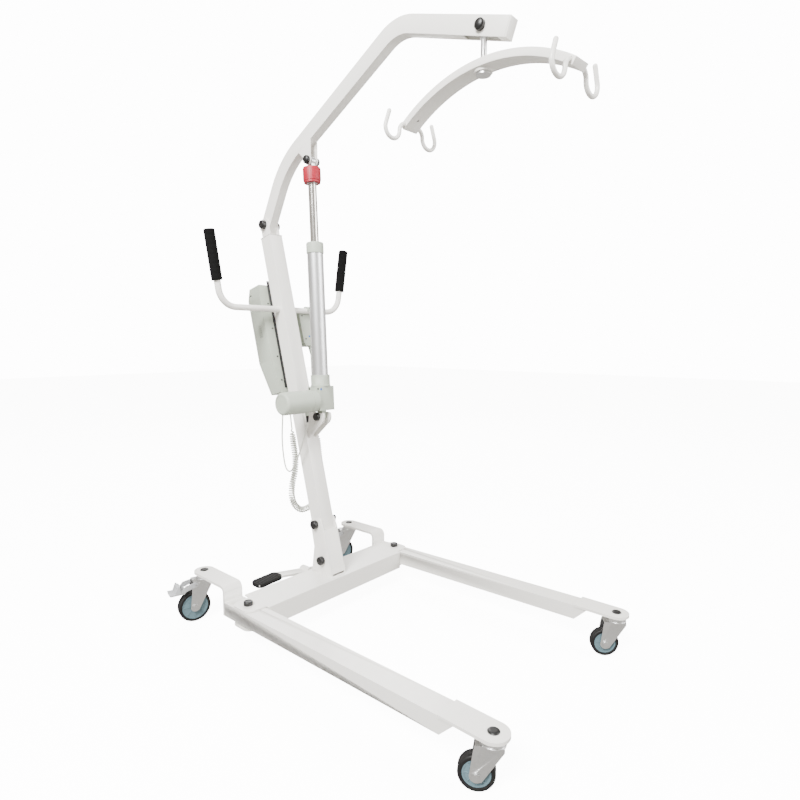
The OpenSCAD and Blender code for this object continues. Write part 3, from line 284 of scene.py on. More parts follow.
RECIPES = {
    "powder_coat": powder_coat,
    "housing": moulded("housing", 0.46),
    "black_cap": moulded("caps", 0.36, 900.0, 0.00005),
    "grip_foam": foam,
    "pad_rubber": rubber((0.002, 0.002, 0.0022), 0.66, 0.02),
    "tread": rubber((0.003, 0.003, 0.0034), 0.55, 0.03),
    "hub_plastic": moulded("hubs", 0.42, 1100.0, 0.00005),
    "pedal_plastic": moulded("pedals", 0.38, 1000.0, 0.00005, 0.1),
    "red_collar": moulded("collar", 0.45, 1200.0, 0.00003),
    "stop_red": moulded("stop", 0.30, 1200.0, 0.00003, 0.4),
    "button_rubber": rubber((0.035, 0.040, 0.046), 0.58, 0.10),
    "battery_case": moulded("caps", 0.50),
    "blue_mark": moulded("marks", 0.40),
    "label_film": moulded("label", 0.25, 500.0, 0.00002, 0.4),
    "zinc": metal((0.78, 0.78, 0.77), (0.56, 0.57, 0.58), 0.24, (1.0, 1.0, 6.0), 0.00005, 0.35),
    "polished": metal((0.62, 0.60, 0.57), (0.46, 0.44, 0.42), 0.09, (1.0, 1.0, 9.0), 0.0000005),
    "anodised": metal((0.73, 0.74, 0.75), (0.64, 0.65, 0.66), 0.30, (9.0, 9.0, 0.4), 0.00004),
    "dark_steel": metal((0.30, 0.30, 0.31), (0.18, 0.18, 0.19), 0.45, (1.0, 1.0, 1.0), 0.0001),
    "cord_sheath": cord_sheath,
    "circuit_board": circuit_board,
    "studio_floor": concrete,
}

SLOT_FINISH = {
    "paint": "powder_coat", "grey_plastic": "housing", "black_plastic": "black_cap",
    "grip_foam": "grip_foam", "pad_rubber": "pad_rubber", "zinc": "zinc",
    "rod_steel": "polished", "tube_aluminium": "anodised", "tyre": "tread",
    "hub": "hub_plastic", "pedal_grey": "pedal_plastic", "collar_red": "red_collar",
    "stop_red": "stop_red", "button_grey": "button_rubber", "cord_grey": "cord_sheath",
    "battery": "battery_case", "board": "circuit_board", "motor_steel": "dark_steel",
}
NODE_SLOT = {part["node"]: part["material_slot"] for part in frame["record"]["subparts"]}
NODE_BODY = {
    node: body
    for body, nodes in frame["record"]["behaviour"]["bodies"].items()
    for node in nodes
}


# ---------- shaping ----------

FLAT_SHARP = 34.0  # degrees past which an edge between smooth faces stays sharp


def round_off(bm, geom, width, steps, affect="EDGES"):
    """Rounds edges or corners and gives the new faces."""
    return bmesh.ops.bevel(
        bm, geom=geom, offset=width, offset_type="OFFSET", affect=affect,
        segments=steps, profile=0.5, material=-1, clamp_overlap=True)["faces"]


def finished(bm, name, body, slot, stands_for=(), look=None, smooth=32.0):
    """Closes a bmesh into a piece that rides on a body and takes its slot's finish."""
    bmesh.ops.remove_doubles(bm, verts=bm.verts, dist=1e-6)
    mesh = bpy.data.meshes.new(name)
    bm.to_mesh(mesh)
    bm.free()
    if smooth:
        mesh.polygons.foreach_set("use_smooth", [True] * len(mesh.polygons))
    mesh.set_sharp_from_angle(angle=math.radians(smooth or FLAT_SHARP))
    mesh.materials.append(finish(look or SLOT_FINISH[slot]))
    piece = bpy.data.objects.new(name, mesh)
    bpy.context.scene.collection.objects.link(piece)
    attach(piece, body)
    if stands_for:
        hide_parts(*stands_for)
    return piece


def outward(bm):
    """Closes the seams of a spun or drawn shape and turns its faces outwards."""
    bmesh.ops.remove_doubles(bm, verts=bm.verts, dist=1e-6)
    bmesh.ops.recalc_face_normals(bm, faces=bm.faces)
    return bm


def softened(node, *cuts):
    """Stands a smooth-edged copy in for a frame node. Each cut is (width, steps, test):
    the sharp edges that pass the test are rounded to that width."""
    bm = bmesh.new()
    bm.from_mesh(frame["nodes"][node].data)
    bmesh.ops.remove_doubles(bm, verts=bm.verts, dist=2e-6)
    bmesh.ops.dissolve_limit(
        bm, angle_limit=math.radians(0.8), verts=bm.verts, edges=bm.edges,
        use_dissolve_boundaries=False)
    for face in bm.faces:
        face.smooth = any(0.017 < edge.calc_face_angle(0) < 0.55 for edge in face.edges)
    for width, steps, test in cuts:
        sharp = [
            edge for edge in bm.edges
            if edge.is_manifold and edge.calc_face_angle(0) > math.radians(38)
            and edge.calc_length() > 2.2 * width and test(edge)
        ]
        for face in round_off(bm, sharp, width, steps):
            face.smooth = True
    return finished(bm, "soft_" + node, NODE_BODY[node], NODE_SLOT[node], [node], smooth=None)


def longer(length):
    """A test that an edge is longer than a length."""
    return lambda edge: edge.calc_length() > length


def spun(profile, looped, place, steps):
    """(radius, height) points spun about Z and set in place."""
    bm = bmesh.new()
    points = [bm.verts.new((radius, 0, height)) for radius, height in profile]
    following = points[1:] + (points[:1] if looped else [])
    around = points + [bm.edges.new(pair) for pair in zip(points, following)]
    bmesh.ops.spin(
        bm, geom=around, cent=(0, 0, 0), axis=(0, 0, 1), dvec=(0, 0, 0),
        angle=math.tau, steps=steps, use_merge=True)
    outward(bm)
    bmesh.ops.transform(bm, matrix=place, verts=bm.verts)
    return bm


def turned(profile, place, steps=48):
    """A turned piece that is solid to its axis at both ends."""
    return spun(profile, False, place, steps)


def ring(profile, place, steps=64):
    """A turned piece from a closed loop of points that leaves a bore."""
    return spun(profile, True, place, steps)


def joined(parts):
    """Several bmeshes in one."""
    whole = bmesh.new()
    for part in parts:
        mesh = bpy.data.meshes.new("part")
        part.to_mesh(mesh)
        whole.from_mesh(mesh)
        bpy.data.meshes.remove(mesh)
        part.free()
    return whole


def rounded_section(width, height, radius, steps=4):
    """A flat outline in XY with round corners."""
    bm = bmesh.new()
    bmesh.ops.create_grid(bm, x_segments=1, y_segments=1, size=0.5)
    bmesh.ops.scale(bm, vec=(width, height, 1), verts=bm.verts)
    round_off(bm, bm.verts[:], radius, steps, "VERTICES")
    return bm


def round_section(diameter, steps=24):
    """A flat round outline in XY."""
    bm = bmesh.new()
    bmesh.ops.create_circle(bm, cap_ends=True, radius=diameter / 2, segments=steps)
    return bm


def drawn(bm, moves, place):
    """Pushes a flat outline along Z through its moves and closes the end. A move is a
    run, (length,), or a bend, (angle, radius, sideways), about the outline's X or Y."""
    rim = bm.edges[:]
    pose = Matrix()
    for move in moves:
        if len(move) == 1:
            made = bmesh.ops.extrude_edge_only(bm, edges=rim)["geom"]
            fresh = {part for part in made if isinstance(part, bmesh.types.BMVert)}
            step = Matrix.Translation(pose.to_3x3() @ Vector((0, 0, move[0])))
            bmesh.ops.transform(bm, matrix=step, verts=list(fresh))
            rim = [
                part for part in made
                if isinstance(part, bmesh.types.BMEdge) and set(part.verts) <= fresh
            ]
        else:
            angle, radius, sideways = move
            aside = pose.to_3x3() @ (Vector((1, 0, 0)) if sideways else Vector((0, 1, 0)))
            forward = pose.to_3x3() @ Vector((0, 0, 1))
            centre = pose.translation + aside * math.copysign(radius, angle)
            axis = forward.cross(aside) * math.copysign(1, angle)
            verts = list({vert for edge in rim for vert in edge.verts})
            steps = max(4, round(abs(angle) / math.radians(5)))
            last = bmesh.ops.spin(
                bm, geom=rim + verts, cent=centre, axis=axis, dvec=(0, 0, 0),
                angle=abs(angle), steps=steps)["geom_last"]
            rim = [part for part in last if isinstance(part, bmesh.types.BMEdge)]
            step = (
                Matrix.Translation(centre) @ Matrix.Rotation(abs(angle), 4, axis)
                @ Matrix.Translation(-centre))
        pose = step @ pose
    bmesh.ops.edgeloop_fill(bm, edges=rim)
    outward(bm)
    bmesh.ops.transform(bm, matrix=place, verts=bm.verts)
    return bm


def block(low, high, width, place=Matrix(), steps=2):
    """A box from corner to corner with rounded edges."""
    low, high = Vector(low), Vector(high)
    bm = bmesh.new()
    bmesh.ops.create_cube(bm, size=1.0)
    bmesh.ops.scale(bm, vec=high - low, verts=bm.verts)
    bmesh.ops.translate(bm, vec=(low + high) / 2, verts=bm.verts)
    round_off(bm, bm.edges[:], width, steps)
    bmesh.ops.transform(bm, matrix=place, verts=bm.verts)
    return bm


def slab(width, depth, radius, low, high, edge, place):
    """A plate with round corners in plan and soft rims."""
    base = Matrix.Translation((0, 0, low))
    bm = drawn(rounded_section(width, depth, radius, 8), [(high - low,)], base)
    rims = [
        line for line in bm.edges
        if line.calc_face_angle(0) > math.radians(60)
        and abs(line.verts[0].co.z - line.verts[1].co.z) < 1e-6]
    round_off(bm, rims, edge, 3)
    bmesh.ops.transform(bm, matrix=place, verts=bm.verts)
    return bm


def bead(start, end, radius=None):
    """A weld bead: a rippled, half-sunk rod from point to point."""
    radius = radius or size("weld_radius")
    start, end = Vector(start), Vector(end)
    length = (end - start).length
    ripples = max(4, round(length / 0.0028))
    profile = [(0, -radius * 0.6)]
    for k in range(ripples * 4 + 1):
        swell = radius * (0.86 + 0.14 * math.sin(k / 4 * math.tau))
        profile.append((swell, length * k / (ripples * 4)))
    profile.append((0, length + radius * 0.6))
    lay = (end - start).to_track_quat("Z", "Y").to_matrix().to_4x4()
    return turned(profile, Matrix.Translation(start) @ lay, 10)


def along_x(x, y, z, flip=False):
    """Places a turned piece with its Z along X, or against it."""
    turn = Matrix.Rotation(math.radians(-90 if flip else 90), 4, "Y")
    return Matrix.Translation((x, y, z)) @ turn


def dome(radius, height, edge):
    """Profile of a low black cap with a round shoulder and a shallow dish on top."""
    arc = [
        (radius - edge + edge * math.sin(turn), height - edge + edge * math.cos(turn))
        for turn in (k * math.pi / 12 for k in range(6, -1, -1))
    ]
    return [(0, 0), (radius - 0.0006, 0), (radius, 0.0006)] + arc + [
        (radius * 0.55, height + 0.0002), (radius * 0.5, height - 0.0006), (0, height - 0.0007)]


def grooved(radius, start, end, count, depth, width):
    """Profile points of a cylinder with evenly spaced V grooves around it."""
    points = [(radius, start)]
    for k in range(count):
        at = start + (end - start) * (k + 1) / (count + 1)
        points += [(radius, at - width / 2), (radius - depth, at), (radius, at + width / 2)]
    return points + [(radius, end)]


JOINT = {joint["name"]: joint for joint in frame["joints"]}


def turning_frame(joint):
    """The frame of a joint: its anchor, with Z along its axis."""
    axis = Vector(JOINT[joint]["axis"])
    return Matrix.Translation(JOINT[joint]["pos_m"]) @ axis.to_track_quat("Z", "Y").to_matrix().to_4x4()


# ---------- cords ----------

MOTOR_ROUTE = [
    (-60, 33, 626.5), (-60, 35, 602), (-58, 50, 560), (-54, 80, 505), (-50, 112, 455), (-47, 140, 432),
    (-44, 165, 440), (-42, 180, 480), (-40, 188, 540), (-35, 190, 610), (-30, 196, 678),
]
LEAD_TOP = [(-5, 196, 678), (-6, 189, 650), (-9, 183, 625), (-12, 176, 600), (-14, 170, 575)]
COIL_ROUTE = [
    (-14, 170, 575), (-14, 162, 520), (-12, 155, 470), (-20, 149, 425), (-34, 146, 385), (-38, 144, 345),
    (-26, 142, 312), (2, 141, 292), (45, 141, 300), (78, 144, 335), (94, 151, 385), (100, 161, 440),
    (101, 170, 500), (101, 178, 550),
]
LEAD_END = [(101, 178, 550), (101, 186, 610), (101, 192, 670), (101, 197, 740), (101, 202, 818)]
CURL_STEPS = 14


def smooth_route(route, steps):
    """Points in metres on a smooth curve through a route in millimetres."""
    points = [Vector(point) * MM for point in route]
    made = []
    for i in range(len(points) - 1):
        a = points[max(i - 1, 0)]
        b, c = points[i], points[i + 1]
        d = points[min(i + 2, len(points) - 1)]
        for k in range(steps):
            t = k / steps
            made.append(0.5 * (
                2 * b + (c - a) * t + (2 * a - 5 * b + 4 * c - d) * t * t
                + (3 * b - a - 3 * c + d) * t * t * t))
    return made + [points[-1]]


def length_along(points):
    """The length of a line through points."""
    return sum((b - a).length for a, b in zip(points, points[1:]))


def curled(route):
    """The cord's own line where it is curled around a route. Over its first and last
    stretch it swells out and turns more slowly."""
    total = length_along(route)
    radius = size("curl_radius")
    ease = 5 * size("curl_pitch")
    step = size("curl_pitch") / CURL_STEPS
    side = Vector((0, 1, 0))
    made = []
    gone, leg, turn = 0.0, 0, 0.0
    for k in range(1, round(total / step)):
        along = k * step
        while leg < len(route) - 2 and gone + (route[leg + 1] - route[leg]).length < along:
            gone += (route[leg + 1] - route[leg]).length
            leg += 1
        run = route[leg + 1] - route[leg]
        share = (along - gone) / run.length
        before = route[leg + 1] - route[max(leg - 1, 0)]
        after = route[min(leg + 2, len(route) - 1)] - route[leg]
        heading = before.lerp(after, share).normalized()
        out = heading.cross(side).normalized()
        grown = min(1.0, along / ease, (total - along) / ease)
        grown = grown * grown * (3 - 2 * grown)
        turn += math.tau / CURL_STEPS * (0.25 + 0.75 * grown)
        made.append(
            route[leg] + run * share + out * radius * grown * math.cos(turn)
            + heading.cross(out) * radius * grown * math.sin(turn))
    return made


def cord_curve(name, points, diameter):
    """A round cord as one open spline."""
    curve = bpy.data.curves.new(name, "CURVE")
    curve.dimensions = "3D"
    curve.bevel_depth = diameter / 2
    curve.bevel_resolution = 4
    curve.use_fill_caps = True
    spline = curve.splines.new("POLY")
    spline.points.add(len(points) - 1)
    for place, point in zip(spline.points, points):
        place.co = (*point, 1)
    spline.use_smooth = True
    curve.materials.append(finish("cord_sheath"))
    piece = bpy.data.objects.new(name, curve)
    bpy.context.scene.collection.objects.link(piece)
    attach(piece, "frame")
    return piece


def sleeve(place, length, name, body, mouth, tail, slot="black_plastic", node=()):
    """A ribbed strain relief that narrows along a cord, its mouth at the frame's origin."""
    bore = size("cord_diameter") / 2 + 0.1 * MM
    ribs = round(length / (3 * MM))
    profile = [(bore, 0), (mouth, 0)]
    for k in range(1, ribs * 2):
        share = k / (ribs * 2)
        profile.append((mouth + (tail - mouth) * share - (0.6 * MM if k % 2 else 0), length * share))
    profile += [(tail, length), (bore, length)]
    return finished(ring(profile, place, 32), name, body, slot, node, smooth=50)


def make_cords():
    """The motor's cord, the handset's curly cord and their strain reliefs."""
    diameter = size("cord_diameter")
    lead = smooth_route(MOTOR_ROUTE, 3)
    piece = cord_curve("motor_cord", lead, diameter)
    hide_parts("motor_lead")
    length_along(lead)
    top = smooth_route(LEAD_TOP, 3)
    tail = smooth_route(LEAD_END, 3)
    whole = top[:-1] + curled(smooth_route(COIL_ROUTE, 4)) + tail
    piece = cord_curve("handset_cord", whole, diameter)
    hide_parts("handset_lead", "handset_coil")
    length_along(whole)
    node = ["cord_glands"]
    down = Matrix.Rotation(math.pi, 4, "X")
    for x, name in ((-30, "motor_cord"), (-5, "handset_cord")):
        socket = ON_MAST @ Matrix.Translation(Vector((x, 54, 607.5)) * MM) @ down
        sleeve(socket, 27 * MM, name + "_relief", "frame", 6 * MM, 3.6 * MM, node=node)
        node = []
    foot = ON_MAST @ Matrix.Translation(Vector((101, 24.5, 759.5)) * MM) @ down
    sleeve(foot, 29 * MM, "handset_relief", "frame", 6.6 * MM, 3.6 * MM, "grey_plastic")
    boss = Matrix.Translation(Vector(MOTOR_ROUTE[0]) * MM) @ down
    sleeve(boss, 20 * MM, "motor_relief", "actuator", 5.2 * MM, 3.5 * MM)


# ---------- base and mast ----------

def make_frame():
    """The crossbar, legs, mast foot and mast, with their welds and a blank notice."""
    softened("crossbar", (size("bracket_edge"), 2, longer(0.02)))
    softened("mast_foot", (size("bracket_edge"), 2, longer(0.018)))
    softened("mast", (size("tube_edge"), 2, longer(0.02)))
    for side in ("left", "right"):
        softened("leg_" + side, (size("tube_edge"), 2, longer(0.02)))
        make_leg_welds(side)
    make_mast_welds()
    make_mast_notice()


def make_leg_welds(side):
    """One bead across the leg behind its pivot, and two along the front castor plate."""
    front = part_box("leg_" + side)[0].y
    pivot_x = JOINT[f"{side}_leg_open"]["pos_m"][0]
    across = (75 * MM, 106.5 * MM)
    beads = [bead((pivot_x - 28 * MM, *across), (pivot_x + 28 * MM, *across))]
    for edge in (-1, 1):
        x = middle(f"{side}_castor_caps").x + edge * 24.5 * MM
        beads.append(bead((x, front + 85 * MM, 114.3 * MM), (x, front + 130 * MM, 113.5 * MM)))
    finished(joined(beads), f"weld_{side}", f"{side}_leg", "paint", smooth=60)


def make_mast_welds():
    """Beads around the mast's top, along its foot and beside the actuator's lugs."""
    thin = size("thin_weld_radius")
    half = 25.5 * MM
    top = 1131 * MM
    corners = [(-half, -half), (half, -half), (half, half), (-half, half)]
    bm = joined([
        bead((*one, top), (*two, top), thin) for one, two in zip(corners, corners[1:] + corners[:1])])
    bmesh.ops.transform(bm, matrix=ON_MAST, verts=bm.verts)
    finished(bm, "weld_mast_top", "frame", "paint", smooth=60)
    floor = 113.5 * MM
    foot_weld = 2.1 * MM
    foot = [
        bead((sx * 31 * MM, -36 * MM, floor), (sx * 31 * MM, 26 * MM, floor), foot_weld)
        for sx in (-1, 1)]
    foot.append(bead((-30 * MM, -40 * MM, floor), (30 * MM, -40 * MM, floor), foot_weld))
    finished(joined(foot), "weld_mast_foot", "frame", "paint", smooth=60)
    lugs = [
        bead((sx * 17.6 * MM, 47 * MM, 596 * MM), (sx * 17.6 * MM, 53 * MM, 628 * MM), thin)
        for sx in (-1, 1)]
    finished(joined(lugs), "weld_actuator_lugs", "frame", "paint", smooth=60)


def make_mast_notice():
    """A blank pale film on the mast's side."""
    film = block((25.1 * MM, -17 * MM, 700 * MM), (25.5 * MM, 17 * MM, 790 * MM), 0.0001, ON_MAST, 1)
    finished(film, "mast_notice", "frame", "grey_plastic", look="label_film")


# ---------- castors ----------

CASTORS = ("front_left", "front_right", "rear_left", "rear_right")


def wheel_size(name):
    """Radius and width of a castor's wheel, from the frame."""
    tyre = frame["nodes"][name + "_tyre"].data
    turn = turning_frame(name + "_roll").inverted()
    points = [turn @ vert.co for vert in tyre.vertices]
    return max(point.xy.length for point in points), 2 * max(point.z for point in points)


def make_wheels():
    """The tyre, wheel centre and fork of each castor."""
    for name in CASTORS:
        place = turning_frame(name + "_roll")
        radius, width = wheel_size(name)
        make_tyre(name, place, radius, width)
        make_hub(name, place, radius - 9 * MM, width)
        make_fork(name)


def make_tyre(name, place, radius, width):
    """A tyre with round shoulders and three grooves in its tread."""
    half = width / 2
    rim = radius - 9 * MM
    shoulder = 4.5 * MM
    profile = [(rim, 1 * MM - half), (rim + 2 * MM, 0.2 * MM - half), (rim + 3 * MM, -half)]
    arc = [k * math.pi / 12 for k in range(7)]
    profile += [
        (radius - shoulder + shoulder * math.sin(a), -half + shoulder * (1 - math.cos(a))) for a in arc]
    profile += grooved(radius, -half + shoulder + 0.0004, half - shoulder - 0.0004, 3, 0.0009, 0.0012)
    profile += [
        (radius - shoulder + shoulder * math.cos(a), half - shoulder * (1 - math.sin(a))) for a in arc]
    profile += [(rim + 3 * MM, half), (rim + 2 * MM, half - 0.2 * MM), (rim, half - 1 * MM)]
    finished(
        ring(profile, place, 96), f"{name}_tread", f"{name}_wheel", "tyre", [f"{name}_tyre"], smooth=40)


def make_hub(name, place, rim, width):
    """A moulded wheel centre: rim, boss and a web with ribs on both faces."""
    half = width / 2
    bore = 5.2 * MM
    boss = bore + 6.5 * MM
    profile = [
        (bore, -half - 1.4 * MM), (boss, -half - 1.4 * MM), (boss, -half + 3 * MM),
        (rim - 4 * MM, -half + 3.6 * MM), (rim - 4 * MM, -half + 2.2 * MM), (rim, -half + 2.2 * MM)]
    profile += [(radius, -z) for radius, z in reversed(profile)]
    parts = [ring(profile, place, 64)]
    for side in (-1, 1):
        for k in range(8):
            turn = Matrix.Rotation(k * math.tau / 8, 4, "Z")
            low = (boss - 1 * MM, -1.1 * MM, min(side * (half - 3.8 * MM), side * (half - 1.9 * MM)))
            high = (rim - 3.4 * MM, 1.1 * MM, max(side * (half - 3.8 * MM), side * (half - 1.9 * MM)))
            parts.append(block(low, high, 0.5 * MM, place @ turn, 2))
    finished(joined(parts), f"{name}_centre", f"{name}_wheel", "hub", [f"{name}_hub"])


def make_fork(name):
    """The soft-edged fork and the race that it swivels on."""
    softened(name + "_fork", (0.0008, 2, longer(0.006)))
    swivel = turning_frame(name + "_turn")
    crown = (96.7 if name.startswith("front") else 126.7) * MM
    base = Matrix.Translation((swivel.translation.x, swivel.translation.y, crown))
    race = [
        (20 * MM, 2.6 * MM), (25.4 * MM, 2.6 * MM), (25.8 * MM, 3.6 * MM), (25.2 * MM, 5.2 * MM),
        (24.6 * MM, 5.6 * MM), (20 * MM, 5.6 * MM)]
    finished(ring(race, base, 64), f"{name}_race", f"{name}_swivel", "zinc", smooth=50)


def make_brakes():
    """Brake pedals: the strap frame with a moulded tread and an upright release tab."""
    for side in ("left", "right"):
        softened(side + "_brake_pedal", (0.0008, 2, longer(0.008)))
        swivel = JOINT[f"rear_{side}_turn"]["pos_m"]
        hinge = Vector(JOINT[f"{side}_brake_press"]["pos_m"]) - Vector(swivel)
        outwards = Matrix.Rotation(math.atan2(hinge.y, hinge.x), 4, "Z")
        pin = Matrix.Translation((swivel[0], swivel[1], 0)) @ outwards
        tread = slab(47 * MM, 41.6 * MM, 6 * MM, 95.8 * MM, 103 * MM, 2.2 * MM,
                     pin @ Matrix.Translation((84 * MM, 0, 0)))
        tab = block((75 * MM, -15 * MM, 100 * MM), (87 * MM, 15 * MM, 122 * MM), 2.6 * MM, pin, 3)
        finished(joined([tread, tab]), f"{side}_brake_tread", f"{side}_brake", "pedal_grey")


# ---------- caps and bolts ----------

def cap_piece(name, place, diameter, height, body, node=()):
    """A black cap, its diameter and height in millimetres."""
    profile = dome(diameter / 2 * MM, height * MM, 3.4 * MM)
    finished(turned(profile, place, 48), name, body, "black_plastic", node, smooth=38)


def make_caps():
    """Round caps over the bolt ends, the lobed knob on the mast's foot, and the bolts."""
    node = ["frame_knobs"]
    for joint, name in (("left_leg_open", "left"), ("right_leg_open", "right")):
        x, y = JOINT[joint]["pos_m"][:2]
        cap_piece(f"{name}_pivot_cap", Matrix.Translation((x, y, 113 * MM)), 26, 12, "frame", node)
        node = []
    ends_at = [
        ("foot_low", ON_MAST, 48, 30.3, 27, 15, (-1, 1)), ("foot_high", ON_MAST, 164, 30.3, 27, 15, (-1,)),
        ("mast_top", ON_MAST, 1172, 20.6, 28, 15, (-1, 1)),
        ("actuator_foot", ON_ACTUATOR, 0, 17, 25, 12, (-1, 1))]
    for name, base, up, half, diameter, height, sides in ends_at:
        for s in sides:
            place = base @ along_x(s * half * MM, 0, up * MM, s < 0)
            cap_piece(f"{name}_cap_{'near' if s < 0 else 'far'}", place, diameter, height, "frame")
    make_lobe_knob(ON_MAST @ along_x(30.3 * MM, 0, 164 * MM))
    for side in ("left", "right"):
        make_castor_caps(side)
    softened("boom_knobs", (0.0016, 3, longer(0.0005)))
    softened("frame_bolts")
    softened("boom_bolts")


def make_lobe_knob(place):
    """A black knob with three lobes."""
    core = turned(dome(15 * MM, 14 * MM, 3 * MM), place, 40)
    lobes = [
        turned(dome(8 * MM, 13.5 * MM, 3 * MM),
               place @ Matrix.Rotation(k * math.tau / 3, 4, "Z") @ Matrix.Translation((14 * MM, 0, 0)), 28)
        for k in range(3)]
    finished(joined([core] + lobes), "lobed_knob", "frame", "black_plastic")


def make_castor_caps(side):
    """Low caps over the castor pins: front and rear of one leg."""
    mesh = frame["nodes"][f"{side}_castor_caps"].data
    points = [vert.co.copy() for vert in mesh.vertices]
    groups = [[p for p in points if p.y < 0], [p for p in points if p.y >= 0]]
    node = [f"{side}_castor_caps"]
    for group, name in zip(groups, ("front", "rear")):
        low = [min(p[i] for p in group) for i in range(3)]
        high = [max(p[i] for p in group) for i in range(3)]
        centre = Matrix.Translation(((low[0] + high[0]) / 2, (low[1] + high[1]) / 2, low[2]))
        r, h = (high[0] - low[0]) / 2, high[2] - low[2]
        profile = [(0, 0), (r, 0), (r, h * 0.3), (r - 0.8 * MM, h * 0.55), (r - 2 * MM, h * 0.8),
                   (r - 3.4 * MM, h), (r - 6 * MM, h), (0, h)]
        finished(turned(profile, centre, 48), f"{side}_{name}_pin_cap", f"{side}_leg", "black_plastic", node)
        node = []


# ---------- handle ----------

HANDLE = Matrix.Translation(Vector((0, 215.05, 963.2)) * MM)
BEND_R = 60 * MM
HANDLE_REACH = 246 * MM - BEND_R
GRIP_LEAN = math.radians(8.7)


def grip_frame(side):
    """The frame of one end of the handle, with Z up along its grip."""
    return (
        HANDLE @ Matrix.Translation((side * HANDLE_REACH, 0, BEND_R))
        @ Matrix.Rotation(side * GRIP_LEAN, 4, "Y") @ Matrix.Translation((side * BEND_R, 0, 0)))


def make_handle():
    """The bent push handle with its two foam grips."""
    upright = 170 * MM
    bend = (math.pi / 2 - GRIP_LEAN, BEND_R, True)
    start = grip_frame(-1) @ Matrix.Translation((0, 0, upright)) @ Matrix.Rotation(math.pi, 4, "X")
    tube = drawn(
        round_section(20 * MM, 32), [(upright,), bend, (2 * HANDLE_REACH,), bend, (upright,)], start)
    finished(tube, "bent_handle", "frame", "paint", ["push_handle"])
    node = ["handle_grips"]
    for side, name in ((-1, "left"), (1, "right")):
        low, high = 26 * MM, 176 * MM
        r = size("grip_radius")
        round_end = [k * math.pi / 12 for k in range(7)]
        profile = [(10.1 * MM, low), (r - 2 * MM, low), (r - 0.6 * MM, low + 0.6 * MM), (r, low + 2 * MM)]
        profile += grooved(r, low + 8 * MM, high - 6 * MM, 9, 0.15 * MM, 1.2 * MM)
        profile += [
            (r - (1 - math.cos(turn)) * 5 * MM, high - 5 * MM + 5 * MM * math.sin(turn))
            for turn in round_end]
        profile += [(0, high)]
        finished(
            turned([(0, low + 1 * MM)] + profile, grip_frame(side), 48), f"{name}_foam_grip", "frame",
            "grip_foam", node, smooth=50)
        node = []
    collar = [
        ring([(10.1 * MM, -2 * MM), (12.5 * MM, -2 * MM), (11.2 * MM, 2 * MM), (10.1 * MM, 2 * MM)],
             HANDLE @ along_x(s * 27 * MM, 0, 0, s < 0), 32) for s in (-1, 1)]
    finished(joined(collar), "weld_handle", "frame", "paint", smooth=60)


# ---------- actuator ----------

def make_actuator():
    """The lifting actuator: tube, rod, head cap, collar, gearbox and motor."""
    tube = [
        (22.2 * MM, 100 * MM), (25 * MM, 100 * MM), (25 * MM, 511.3 * MM), (24.5 * MM, 512 * MM),
        (22.2 * MM, 512 * MM)]
    finished(ring(tube, ON_ACTUATOR, 96), "bright_tube", "actuator", "tube_aluminium", ["actuator_tube"])
    cap = [
        (13.2 * MM, 512.1 * MM), (26 * MM, 512.1 * MM), (27 * MM, 513 * MM), (27 * MM, 540 * MM),
        (26.4 * MM, 543 * MM), (25 * MM, 545.3 * MM), (22.5 * MM, 546.1 * MM), (17.4 * MM, 546.1 * MM),
        (17 * MM, 544.5 * MM), (13.2 * MM, 544.5 * MM)]
    finished(ring(cap, ON_ACTUATOR, 96), "tube_head", "actuator", "grey_plastic", ["tube_cap"])
    wiper = [(13.08 * MM, 543 * MM), (16.8 * MM, 543 * MM), (16.2 * MM, 546 * MM), (13.08 * MM, 545.4 * MM)]
    finished(ring(wiper, ON_ACTUATOR, 64), "rod_wiper", "actuator", "black_plastic", smooth=50)
    rod = [(0, 370 * MM), (13 * MM, 370 * MM), (13 * MM, 726 * MM), (0, 726 * MM)]
    finished(turned(rod, ON_ACTUATOR, 96), "polished_rod", "piston", "rod_steel", ["piston_rod"])
    make_collar()
    softened("rod_eye", (0.0010, 2, longer(0.008)))
    softened("gearbox_case", (size("case_edge"), 4, outer_case_edge))
    make_gearbox_details()
    make_motor()


def outer_case_edge(edge):
    """Edges of the gearbox block's outside, and not of the bores in it."""
    def near(value, wanted, slack):
        return abs(value - wanted * MM) < slack * MM

    a, b = (ON_ACTUATOR.inverted() @ vert.co for vert in edge.verts)
    corner = all(near(abs(p.x), 29.5, 1) and near(abs(p.y), 28, 0.5) for p in (a, b))
    rim = all(
        (near(p.z, 20, 0.3) or near(p.z, 96, 0.3))
        and (near(abs(p.x), 29.5, 1) or near(abs(p.y), 28, 0.5)) for p in (a, b))
    return (corner or rim) and edge.calc_length() > 20 * MM


def make_collar():
    """The red lowering collar: a finely ribbed sleeve above a narrower ring."""
    low, high = 726.7 * MM, 774.3 * MM
    bore = 16.2 * MM
    outline = [
        (bore, low), (24.8 * MM, low), (25.6 * MM, low + 0.8 * MM), (25.6 * MM, low + 6 * MM),
        (27.3 * MM, low + 7.2 * MM), (27.3 * MM, high - 3 * MM), (26.4 * MM, high - 0.8 * MM),
        (24.4 * MM, high), (bore, high)]
    parts = [ring(outline, ON_ACTUATOR, 96)]
    for k in range(36):
        turn = ON_ACTUATOR @ Matrix.Rotation(k * math.tau / 36, 4, "Z")
        low_corner = (26.8 * MM, -0.8 * MM, low + 10 * MM)
        parts.append(block(low_corner, (27.8 * MM, 0.8 * MM, high - 5 * MM), 0.3 * MM, turn, 2))
    finished(joined(parts), "lowering_collar", "collar", "collar_red", ["release_collar"])


